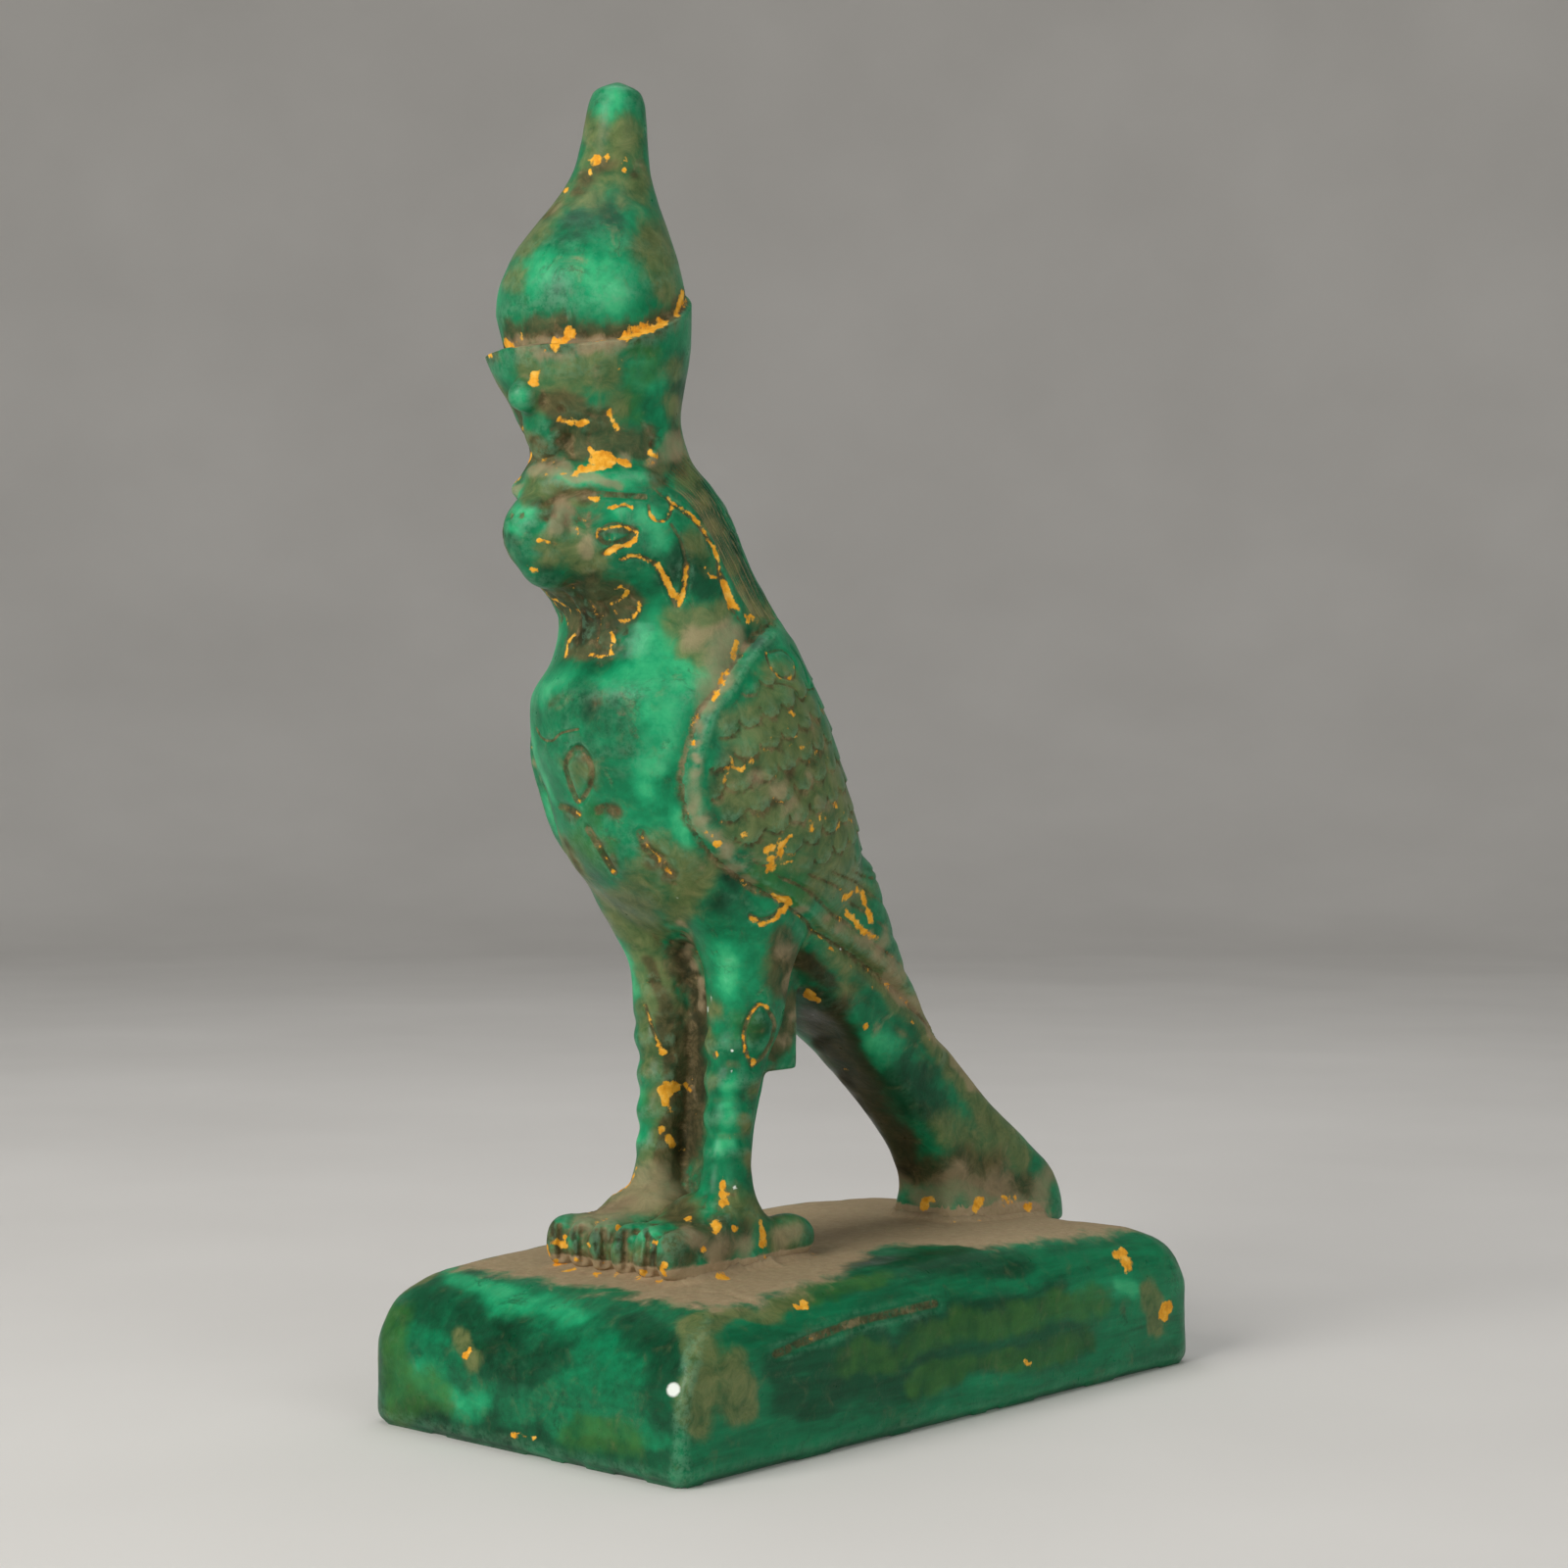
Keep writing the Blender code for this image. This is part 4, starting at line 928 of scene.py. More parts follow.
def foot_solid(name, hand, collection):
    """A foot as upright slices from the toes back, flat below and rounded above."""
    rings = []
    sink = foot_sink / UNIT
    for forward in places_between(foot_stations, foot_slice_spacing):
        top, inner, outer = follow(foot_stations, forward)
        middle, half = (inner + outer) / 2, (outer - inner) / 2
        oval = rounded_ring(middle, (top - sink) / 2, half, (top + sink) / 2, *foot_squareness)
        rings.append([place_on_plinth(hand * side, forward, height) for side, height in oval])
    return loft(name, rings, collection)


def egg(name, middle, size, collection, squareness=2.0):
    """A ball with a radius of its own along each axis, boxier where its squareness is over 2."""
    shape = bmesh.new()
    around, up = egg_segments
    bmesh.ops.create_uvsphere(shape, u_segments=around, v_segments=up, radius=1.0)
    radii = Vector(size) * UNIT
    centre = place_on_plinth(*middle)
    for vert in shape.verts:
        swell = sum(abs(part) ** squareness for part in vert.co) ** (-1.0 / squareness)
        vert.co = Vector([part * swell * radius for part, radius in zip(vert.co, radii)]) + centre
    return mesh_object(name, shape, collection)


def block_solid(name, middle, size, collection):
    """A plain box."""
    shape = bmesh.new()
    bmesh.ops.create_cube(shape, size=1.0)
    centre = place_on_plinth(*middle)
    for vert in shape.verts:
        vert.co = Vector([a * b * UNIT for a, b in zip(vert.co, size)]) + centre
    return mesh_object(name, shape, collection)


def falcon_masses(collection):
    """The rough masses of the falcon, which overlap where they are joined."""
    masses = [
        upright_loft("body", body_stations, body_row, collection),
        upright_loft("tail", tail_stations, tail_row, collection),
        upright_loft("web", web_stations, web_row, collection),
        block_solid("block", block_middle, block_size, collection),
        egg("beak", beak_middle, beak_size, collection),
        egg("beak_tip", beak_tip_middle, beak_tip_size, collection),
        egg("cobra_head", cobra_head_middle, cobra_head_size, collection),
        egg("cobra_hood", cobra_hood_middle, cobra_hood_size, collection),
    ]
    for hand in (1, -1):
        masses.append(upright_loft("leg", leg_stations, partial(leg_row, hand), collection))
        masses.append(foot_solid("foot", hand, collection))
        side, forward, height = spur_middle
        masses.append(egg("spur", (hand * side, forward, height), spur_size, collection))
        for toe in range(toes_per_foot):
            place = (hand * toe_pitch * (toe + 0.5), toe_front + toe_size[1], toe_middle_height)
            masses.append(egg("toe", place, toe_size, collection, toe_squareness))
    return masses


def settle(thing):
    """Give the object its evaluated mesh and drop its modifiers."""
    bpy.context.view_layer.update()
    depsgraph = bpy.context.evaluated_depsgraph_get()
    finished = bpy.data.meshes.new_from_object(thing.evaluated_get(depsgraph))
    thing.modifiers.clear()
    rough = thing.data
    thing.data = finished
    bpy.data.meshes.remove(rough)


def joined(name, things, collection):
    """One object from several, which are removed."""
    shape = bmesh.new()
    for thing in things:
        shape.from_mesh(thing.data)
        mesh = thing.data
        bpy.data.objects.remove(thing)
        bpy.data.meshes.remove(mesh)
    mesh = bpy.data.meshes.new(name)
    shape.to_mesh(mesh)
    shape.free()
    thing = bpy.data.objects.new(name, mesh)
    collection.objects.link(thing)
    return thing


def remesh_finely(thing, voxel):
    """Rebuild the object as one closed skin of small even faces."""
    remesh = thing.modifiers.new("fine skin", "REMESH")
    remesh.mode = "VOXEL"
    remesh.voxel_size = voxel
    settle(thing)


def soften(thing, passes, group_name=""):
    """Even out the skin, all over or only as far as a vertex group weighs it."""
    smoothing = thing.modifiers.new("soften", "SMOOTH")
    smoothing.factor = blending_factor
    smoothing.iterations = passes
    smoothing.vertex_group = group_name
    settle(thing)


def blend(thing):
    """Fuse the masses into one skin and soften where they meet."""
    remesh_finely(thing, voxel_size)
    soften(thing, blending_passes)
    heights = falcon_measure(vertex_places(thing.data))[:, 2]
    flank = thing.vertex_groups.new(name="flank")
    for index, weight in enumerate(within(heights, flank_heights, flank_fade)):
        flank.add([index], float(weight), "REPLACE")
    soften(thing, flank_blending_passes, flank.name)


def vertex_places(mesh):
    """The mesh's vertices in metres, one to a row."""
    places = np.empty(len(mesh.vertices) * 3)
    mesh.vertices.foreach_get("co", places)
    return places.reshape(-1, 3)


def smooth_step(value):
    """0 below nought and 1 above one, with a soft bend between."""
    inside = np.clip(value, 0.0, 1.0)
    return inside * inside * (3.0 - 2.0 * inside)


def bump(distance, reach):
    """1 at no distance, falling softly to 0 at the reach."""
    return 0.5 + 0.5 * np.cos(math.pi * np.clip(np.abs(distance) / reach, 0.0, 1.0))


def within(value, limits, fade):
    """1 between the limits and 0 past them, over a fade that is centred on each limit."""
    low, high = limits
    return smooth_step((value - low) / fade + 0.5) * smooth_step((high - value) / fade + 0.5)


def past_edge(stations, place, value):
    """How far each point lies past a curved edge, measured square to the edge."""
    first, last = min(stations)[0], max(stations)[0]
    samples = np.linspace(first, last, edge_samples)
    edge = np.array([follow(stations, sample)[0] for sample in samples])
    slope = np.gradient(edge, samples)
    here = np.interp(place, samples, edge)
    tilt = np.interp(place, samples, slope)
    return (value - here) / np.sqrt(1.0 + tilt * tilt)


def line_distance(points, line):
    """Each point's distance to a line of straight pieces."""
    nearest = np.full(len(points), np.inf)
    for start, end in zip(line, line[1:]):
        along = end - start
        share = np.clip((points - start) @ along / (along @ along), 0.0, 1.0)
        gap = points - (start + share[:, None] * along)
        nearest = np.minimum(nearest, np.sqrt((gap * gap).sum(axis=1)))
    return nearest


def fine_line(corners):
    """A curve through the corners, as many short straight pieces."""
    corners = np.array(corners, dtype=float)
    closed = np.allclose(corners[0], corners[-1])
    before = corners[-2] if closed else 2 * corners[0] - corners[1]
    after = corners[1] if closed else 2 * corners[-1] - corners[-2]
    padded = np.vstack([before, corners, after])
    line = []
    for a, b, c, d in zip(padded, padded[1:], padded[2:], padded[3:]):
        bend = 2 * a - 5 * b + 4 * c - d
        twist = 3 * b - a - 3 * c + d
        for t in np.arange(line_pieces) / line_pieces:
            line.append(b + 0.5 * ((c - a) * t + bend * t**2 + twist * t**3))
    line.append(corners[-1])
    return line


def falcon_measure(points):
    """Side, forward and height in hundredths of the falcon's height, from points in metres."""
    return (points - np.array([0.0, falcon_setback, plinth_height])) / UNIT


def crown_relief(points):
    """Lip and groove where the lower crown ends, both strongest in front."""
    _, forward, height = points.T
    above = past_edge(rim_edge, forward, height)
    frontness = smooth_step((rim_back - forward) / (rim_back - rim_front))
    lip_rise = rim_lip_behind + (rim_lip - rim_lip_behind) * frontness
    lip = lip_rise * np.clip(1.0 + above / rim_lip_reach, 0.0, 1.0) ** rim_lip_power
    groove_depth = rim_groove_behind + (rim_groove - rim_groove_behind) * frontness
    groove = -groove_depth * np.clip(1.0 - above / rim_groove_reach, 0.0, 1.0)
    upper = smooth_step(above / rim_sharpness + 0.5)
    return lip * (1.0 - upper) + groove * upper


def brow_relief(points):
    """The raised band over the eyes."""
    _, forward, height = points.T
    off = past_edge(brow_line, forward, height)
    return brow_rise * bump(off, brow_reach) * within(forward, (brow_front, brow_back), brow_fade)


def scale_relief(forward, height):
    """Overlapping round feathers in staggered rows."""
    down = forward * math.sin(scale_slant) - height * math.cos(scale_slant)
    across = forward * math.cos(scale_slant) + height * math.sin(scale_slant)
    row = np.floor(down / scale_row)
    into = down - row * scale_row
    radius = scale_width / 2
    own_middle = feather_middle(across, row)
    upper_middle = feather_middle(across, row - 1)
    under_upper = np.hypot(across - upper_middle, into) < radius
    share = np.where(under_upper, into + scale_row, into) / (scale_row + radius)
    off_middle = np.abs(across - np.where(under_upper, upper_middle, own_middle)) / radius
    return scale_rise * (share * (1.0 - scale_ridge * off_middle) - 0.5)


def feather_middle(across, row):
    """Middle of the feather that each point falls on; every second row is staggered by half a feather."""
    stagger = 0.5 * (row % 2)
    return (np.floor(across / scale_width - stagger) + 0.5 + stagger) * scale_width


def wing_relief(points):
    """The folded wing: raised past its edge, with a thicker rim, small feathers above and quills below."""
    side, forward, height = points.T
    inside = past_edge(wing_edge, height, forward)
    relief = wing_rise * smooth_step(inside / wing_blend)
    relief -= wing_rise * bump(inside, wing_groove_reach) * (inside < 0)
    relief += wing_rim_rise * bump(inside - wing_rim_reach, wing_rim_reach)
    feathered = smooth_step((inside - feather_inset) / feather_fade)
    feathered *= smooth_step((np.abs(side) - spine_half_width) / spine_fade)
    relief += feathered * within(height, scale_heights, scale_fade) * scale_relief(forward, height)
    quills = -quill_depth * (0.5 + 0.5 * np.cos(2 * math.pi * inside / quill_pitch)) ** quill_sharpness
    relief += feathered * smooth_step((scale_heights[0] - height) / scale_fade) * quills
    return relief * within(height, wing_heights, wing_fade)


def collar_relief(points):
    """Edge of the head cloth with fine strands behind it."""
    _, forward, height = points.T
    behind = past_edge(collar_edge, height, forward)
    strands = -strand_depth * (0.5 + 0.5 * np.cos(2 * math.pi * behind / strand_pitch)) ** strand_sharpness
    relief = collar_rise * smooth_step(behind / collar_blend) + strands * (behind > 0)
    return relief * within(height, collar_heights, collar_fade)


def shin_relief(points):
    """Creases across the front of the legs."""
    side, forward, height = points.T
    on_front = smooth_step(shin_back - forward) * (np.abs(side) > shin_inner_side)
    creases = shin_depth * np.cos(2 * math.pi * height / shin_pitch)
    return creases * on_front * within(height, shin_heights, shin_fade)


def hollow_relief(points):
    """Rubbed hollows before the eye and under the throat."""
    side, forward, height = points.T
    relief = np.zeros(len(points))
    for (forward_middle, height_middle), (forward_reach, height_reach), depth in side_hollows:
        away = np.hypot((forward - forward_middle) / forward_reach, (height - height_middle) / height_reach)
        relief -= depth * bump(away, 1.0) * (np.abs(side) > hollow_inner_side)
    return relief


def thin_out(thing, triangles):
    """Reduce the skin to about this many triangles, fewest where it is flattest."""
    count = sum(len(face.vertices) - 2 for face in thing.data.polygons)
    thinning = thing.modifiers.new("thin out", "DECIMATE")
    thinning.ratio = min(1.0, triangles / count)
    settle(thing)


def plinth_droop(forward):
    """How far the worn top has sunk at this place along the plinth."""
    deepest = plinth_front_droop if forward < 0 else plinth_back_droop
    share = (abs(forward) - plinth_level_reach) / (plinth_length / 2 - plinth_level_reach)
    return deepest * max(0.0, share) ** plinth_droop_power


def plinth_edge_rounding(edge):
    """The rounding that an edge of the plain block gets."""
    first, second = edge.verts
    if max(first.co.z, second.co.z) == 0:
        return plinth_foot_rounding
    if min(first.co.z, second.co.z) == 0:
        is_crisp = first.co.x > 0 > first.co.y
        return plinth_crisp_corner_rounding if is_crisp else plinth_corner_rounding
    runs_across = first.co.x != second.co.x
    return plinth_end_rounding if runs_across else plinth_side_rounding


def plinth_solid(name, collection):
    """A block with broadly rounded top edges, rounded corners and a lightly rounded foot."""
    shape = bmesh.new()
    bmesh.ops.create_cube(shape, size=1.0)
    for vert in shape.verts:
        x, y, z = vert.co
        vert.co = (x * plinth_width, y * plinth_length, (z + 0.5) * plinth_height)
    weight = shape.edges.layers.float.new("bevel_weight_edge")
    roundings = [plinth_edge_rounding(edge) for edge in shape.edges]
    for edge, edge_rounding in zip(shape.edges, roundings):
        edge[weight] = edge_rounding / max(roundings)
    thing = mesh_object(name, shape, collection)
    rounding = thing.modifiers.new("rounding", "BEVEL")
    rounding.limit_method = "WEIGHT"
    rounding.width = max(roundings)
    rounding.segments = plinth_rounding_steps
    settle(thing)
    wear_down(thing)
    return thing


def wear_down(thing):
    """Slice the plinth across and let its top sink towards both ends, with the underside flat."""
    shape = bmesh.new()
    shape.from_mesh(thing.data)
    for cut in np.linspace(-0.5, 0.5, plinth_slices + 1)[1:-1]:
        everything = shape.verts[:] + shape.edges[:] + shape.faces[:]
        place = Vector((0.0, cut * plinth_length, 0.0))
        bmesh.ops.bisect_plane(shape, geom=everything, plane_co=place, plane_no=(0.0, 1.0, 0.0))
    for vert in shape.verts:
        vert.co.z -= plinth_droop(vert.co.y) * vert.co.z / plinth_height
    shape.to_mesh(thing.data)
    shape.free()


def camera_directions():
    """Right, up and backward directions of the photograph's camera, which looks level."""
    right = Vector((math.cos(camera_azimuth), math.sin(camera_azimuth), 0.0))
    up = Vector((0.0, 0.0, 1.0))
    return right, up, right.cross(up)


def first_hit(trees, pixel):
    """The nearest point of the pieces behind one pixel of the photograph, or None."""
    right, up, back = camera_directions()
    focal = photo_pixels * camera_lens / camera_sensor
    across, down = [(value - photo_pixels / 2) / focal for value in pixel]
    look = right * across - up * down - back
    start = Vector(camera_place)
    hits = [tree.ray_cast(start, look)[0] for tree in trees]
    hits = [hit for hit in hits if hit is not None]
    return min(hits, key=lambda hit: (hit - start).length, default=None)


def laid_line(trees, corners):
    """A curve through pixels of the photograph, laid on the skin, as points in metres."""
    hits = [first_hit(trees, pixel) for pixel in fine_line(corners)]
    return np.array([hit for hit in hits if hit is not None])


def look_at(place):
    """Direction of the photograph's look at a place."""
    return np.array((Vector(place) - Vector(camera_place)).normalized())


def on_both_sides(places, mirrored):
    """The places with their look and, where mirrored, their copy on the far side with its look."""
    look = look_at(np.mean(np.atleast_2d(places), axis=0))
    sides = [np.array((hand, 1.0, 1.0)) for hand in ((1.0, -1.0) if mirrored else (1.0,))]
    return [(places * side, look * side) for side in sides]


def laid_marks(trees, corners, mirrored, half_width, height, pigment):
    """A line laid on the skin, and its copy on the far side where mirrored, with sizes in millimetres."""
    places = laid_line(trees, corners)
    if mirrored is None:
        mirrored = places[:, 0].min() > far_side_from
    return [
        Line(points, look, half_width * MM, height * MM, pigment)
        for points, look in on_both_sides(places, mirrored)
    ]


def nape_strands(trees):
    """The fine strands cut over the nape."""
    strands = []
    half_width, depth = strand_cut
    for share in np.linspace(0.0, 1.0, strand_count):
        corners = (1.0 - share) * np.array(inner_strand) + share * np.array(outer_strand)
        strands += laid_marks(trees, corners, True, half_width, -depth, no_pigment)
    return strands


def skin_lines(trees):
    """Every cut line, raised line and stroke of pigment; a stroke well off the middle is on both sides."""
    lines = []
    for half_width, depth, pigment, mirrored, corners in cut_marks:
        lines += laid_marks(trees, corners, mirrored, half_width, -depth, pigment)
    for half_width, height, mirrored, corners in raised_marks:
        lines += laid_marks(trees, corners, mirrored, half_width, height, no_pigment)
    for half_width, corners in pigment_strokes:
        lines += laid_marks(trees, corners, None, half_width, 0.0, full_pigment)
    return lines


def skin_knobs(trees):
    """Every small swelling and pit: its middle, reach and height in metres."""
    knobs = []
    for across, down, reach, height, mirrored in knob_marks:
        middle = np.array(first_hit(trees, (across, down)))
        for place, _ in on_both_sides(middle, mirrored):
            knobs.append((place, reach * MM, height * MM))
    return knobs


def band_marks(kind):
    """The bands of one kind as rows of overlapping patches."""
    marks = []
    for half_width, corners in bands.get(kind, ()):
        for start, end in zip(corners, corners[1:]):
            count = math.ceil(math.dist(start, end) / half_width)
            for step in range(count + 1):
                across, down = (a + (b - a) * step / count for a, b in zip(start, end))
                marks.append((across, down, half_width))
    return marks


def skin_patches(trees):
    """Every patch of each kind in metres, also on the far side with a small shift."""
    pixel_size = camera_sensor / camera_lens / photo_pixels
    found = {}
    for kind in dict.fromkeys((*patches, *bands)):
        found[kind] = []
        for across, down, radius in (*patches.get(kind, ()), *band_marks(kind)):
            hit = first_hit(trees, (across, down))
            if hit is None:
                continue
            size = radius * pixel_size * (hit - Vector(camera_place)).length
            near, *far = on_both_sides(np.array(hit), kind != one_sided_kind and hit.x > far_side_from)
            found[kind].append(Spot(*near, size))
            for middle, look in far:
                shift = noise.noise_vector(hit / far_side_shift_pitch) * far_side_shift
                found[kind].append(Spot(middle + np.array(shift), look, size))
    return found


def shallow(places, middle, look):
    """The places with their depth along the look, as seen from the middle, made shallow."""
    depth = (places - middle) @ look
    return places - ((1.0 - depth_share) * depth)[:, None] * look


def boxed(places, points, reach):
    """Which places lie in the box round the points, grown by the reach."""
    return ((places > points.min(axis=0) - reach) & (places < points.max(axis=0) + reach)).all(axis=1)


def near_line(places, line, reach):
    """Which places lie in the box round the line, and how far they are from the line."""
    near = boxed(places, line.points, reach)
    return near, line_distance(places[near], line.points)


def near_drawn_line(places, line, reach):
    """As near_line, with depth along the look counted less."""
    near = boxed(places, line.points, reach / depth_share)
    middle = line.points.mean(axis=0)
    drawn = shallow(line.points, middle, line.look)
    return near, line_distance(shallow(places[near], middle, line.look), drawn)


def near_spot(places, spot, reach):
    """Which places lie in the box round a spot, and how far they are from it, with depth counted less."""
    near = (np.abs(places - spot.middle) < reach / depth_share).all(axis=1)
    return near, np.linalg.norm(shallow(places[near], spot.middle, spot.look) - spot.middle, axis=1)


def line_heights(places, lines):
    """How far the cut and raised lines move each point of the skin."""
    cut = np.zeros(len(places))
    raised = np.zeros(len(places))
    for line in lines:
        reach = line_reach * line.half_width
        near, away = near_line(places, line, reach)
        move = line.height * bump(away, reach)
        cut[near] = np.minimum(cut[near], move)
        raised[near] = np.maximum(raised[near], move)
    return cut + raised


def knob_heights(places, knobs):
    """How far the small swellings and pits move each point of the skin."""
    move = np.zeros(len(places))
    for middle, reach, height in knobs:
        away = np.linalg.norm(places - middle, axis=1)
        move += height * bump(away, reach)
    return move


def patch_share(places, spots):
    """How strongly soft patches cover each point, from 0 to 1."""
    bare = np.ones(len(places))
    for spot in spots:
        near, away = near_spot(places, spot, spot.radius * soft_outer)
        bare[near] *= 1.0 - smooth_step((soft_outer - away / spot.radius) / (soft_outer - soft_inner))
    return 1.0 - bare


def line_share(places, lines, find_near, reach_share):
    """How close each point is to the middle of a line, from 0 to 1."""
    share = np.zeros(len(places))
    for line in lines:
        reach = reach_share * line.half_width
        near, away = find_near(places, line, reach)
        share[near] = np.maximum(share[near], bump(away, reach))
    return share


def pigment_depth(places, lines, spots):
    """How far inside the yellow pigment each point lies, in millimetres, negative outside it."""
    depth = np.full(len(places), -far_outside)
    for line in lines:
        near, away = near_drawn_line(places, line, line.half_width + pigment_hold * MM)
        inside = (line.half_width - away) / MM - (full_pigment - line.pigment) * pigment_hold
        depth[near] = np.maximum(depth[near], inside)
    for spot in spots:
        near, away = near_spot(places, spot, spot.radius + pigment_hold * MM)
        depth[near] = np.maximum(depth[near], (spot.radius * pigment_spread - away) / MM)
    return depth


def rough_noise(places, pitch, octaves):
    """Cloudy noise of about -1 to 1 at each point, with lumps of about the pitch."""
    values = [noise.fractal(Vector(place) / pitch, *noise_shape, octaves) for place in places]
    return np.array(values)


def vertex_directions(mesh):
    """The skin's outward direction at each vertex."""
    directions = np.empty(len(mesh.vertices) * 3)
    mesh.vertex_normals.foreach_get("vector", directions)
    return directions.reshape(-1, 3)


def place_vertices(mesh, places):
    """Put the mesh's vertices at these places."""
    mesh.vertices.foreach_set("co", places.ravel())
    mesh.update()


def move_skin(mesh, distance):
    """Move each vertex out along its own direction."""
    place_vertices(mesh, vertex_places(mesh) + vertex_directions(mesh) * distance[:, None])


def refine(thing, lines):
    """Split the faces near the lines, so that the skin is fine enough for them."""
    places = vertex_places(thing.data)
    close = np.zeros(len(places), dtype=bool)
    for line in lines:
        near, away = near_line(places, line, refined_reach)
        close[near] |= away < refined_reach
    shape = bmesh.new()
    shape.from_mesh(thing.data)
    shape.verts.ensure_lookup_table()
    edges = [edge for edge in shape.edges if all(close[vert.index] for vert in edge.verts)]
    bmesh.ops.subdivide_edges(shape, edges=edges, cuts=1, use_grid_fill=True)
    shape.to_mesh(thing.data)
    shape.free()


def carve(thing, lines, knobs, rough_spots):
    """Cut the reliefs, the lines and the small swellings and pits, and wear the whole skin a little."""
    places = vertex_places(thing.data)
    points = falcon_measure(places)
    relief = np.zeros(len(places))
    for feature in (crown_relief, brow_relief, wing_relief, collar_relief, shin_relief, hollow_relief):
        relief += feature(points)
    move = relief * UNIT + line_heights(places, lines) + knob_heights(places, knobs)
    move += skin_wear * rough_noise(places, skin_wear_pitch, skin_wear_octaves)
    pits = np.minimum(rough_noise(places, rough_pitch, rough_octaves), 0.0)
    move += rough_depth * pits * patch_share(places, rough_spots)
    move_skin(thing.data, move)


def plinth_skin(name, collection, falcon_tree, lines):
    """The plinth with a worn skin, and dust heaped where the falcon meets it."""
    thing = plinth_solid(name, collection)
    remesh_finely(thing, plinth_voxel)
    soften(thing, plinth_blending_passes)
    mesh = thing.data
    places = vertex_places(mesh)
    move = line_heights(places, lines)
    move += plinth_wear * rough_noise(places, plinth_wear_pitch, plinth_wear_octaves)
    move += chip_depth * np.minimum(rough_noise(places, chip_pitch, chip_octaves) + chip_rarity, 0.0)
    move_skin(mesh, move)
    places = vertex_places(mesh)
    places[:, 2] += heap_heights(places, falcon_tree)
    low = places[:, 2] < underside_snap
    places[low, 2] = 0.0
    place_vertices(mesh, places)
    return thing


def heap_heights(places, falcon_tree):
    """How high the dust and stone climb to the falcon at each point of the plinth."""
    heights = np.zeros(len(places))
    for index in np.flatnonzero(places[:, 2] > plinth_height - heap_below):
        away = falcon_tree.find_nearest(Vector(places[index]), heap_radius)[3]
        if away is not None:
            heights[index] = heap_radius - math.sqrt(heap_radius**2 - (heap_radius - away) ** 2)
    return heights


def skin_height(mesh):
    """How far each vertex stands over (positive) or under the skin round it, in metres."""
    places = vertex_places(mesh)
    edges = np.empty(len(mesh.edges) * 2, dtype=np.int64)
    mesh.edges.foreach_get("vertices", edges)
    ends = edges.reshape(-1, 2)
    sources = np.concatenate([ends[:, 0], ends[:, 1]])
    targets = np.concatenate([ends[:, 1], ends[:, 0]])
    count = len(places)
    neighbours = np.maximum(np.bincount(targets, minlength=count), 1)
    even = places.copy()
    for _ in range(evening_passes):
        sums = [np.bincount(targets, weights=even[sources, axis], minlength=count) for axis in range(3)]
        even = 0.5 * even + 0.5 * np.stack(sums, axis=1) / neighbours[:, None]
    return ((places - even) * vertex_directions(mesh)).sum(axis=1)


def sphere_directions(count):
    """Evenly spread directions, each turned on from the last by the golden angle."""
    directions = []
    for step in range(count):
        height = 1.0 - (2.0 * step + 1.0) / count
        turn = step * math.pi * (3.0 - math.sqrt(5.0))
        flat = math.sqrt(1.0 - height * height)
        directions.append(Vector((flat * math.cos(turn), flat * math.sin(turn), height)))
    return directions


def shelter(mesh, tree):
    """The share of the looks out of each vertex that soon meet the object again."""
    looks = sphere_directions(shelter_looks)
    sheltered = np.zeros(len(mesh.vertices))
    for index, (place, direction) in enumerate(zip(vertex_places(mesh), vertex_directions(mesh))):
        normal = Vector(direction)
        start = Vector(place) + normal * shelter_lift
        outward = [look for look in looks if look.dot(normal) > shelter_grazing]
        met = [tree.ray_cast(start, look, shelter_reach)[0] is not None for look in outward]
        sheltered[index] = sum(met) / len(met)
    return sheltered


def whole_tree(things):
    """One search tree over the faces of several objects."""
    corners, faces = [], []
    for thing in things:
        offset = len(corners)
        corners.extend(vertex.co.copy() for vertex in thing.data.vertices)
        faces.extend([offset + index for index in face.vertices] for face in thing.data.polygons)
    return BVHTree.FromPolygons(corners, faces)


def dust_cover(places, trees):
    """How far inside the dust of the plinth's top each point lies, in millimetres, negative outside it."""
    front = np.mean([first_hit(trees, pixel).y for pixel in dust_front])
    side = sorted((hit.y, hit.x) for hit in (first_hit(trees, pixel) for pixel in dust_side))
    reach = np.interp(places[:, 1], [place[0] for place in side], [place[1] for place in side])
    inside = reach - np.abs(places[:, 0])
    inside = np.minimum(inside, places[:, 1] - front)
    inside = np.minimum(inside, dust_back_end - places[:, 1])
    low = smooth_step((plinth_height + dust_height - places[:, 2]) / dust_fade)
    return inside / MM * low - far_outside * (1.0 - low)


def warped(places, warps):
    """The points moved a little by noise, which gives the edges of patches a ragged run."""
    moved = []
    for place in places:
        point = Vector(place)
        shifts = [noise.noise_vector(point / pitch) * reach for reach, pitch in warps]
        moved.append(sum(shifts, point))
    return np.array(moved)


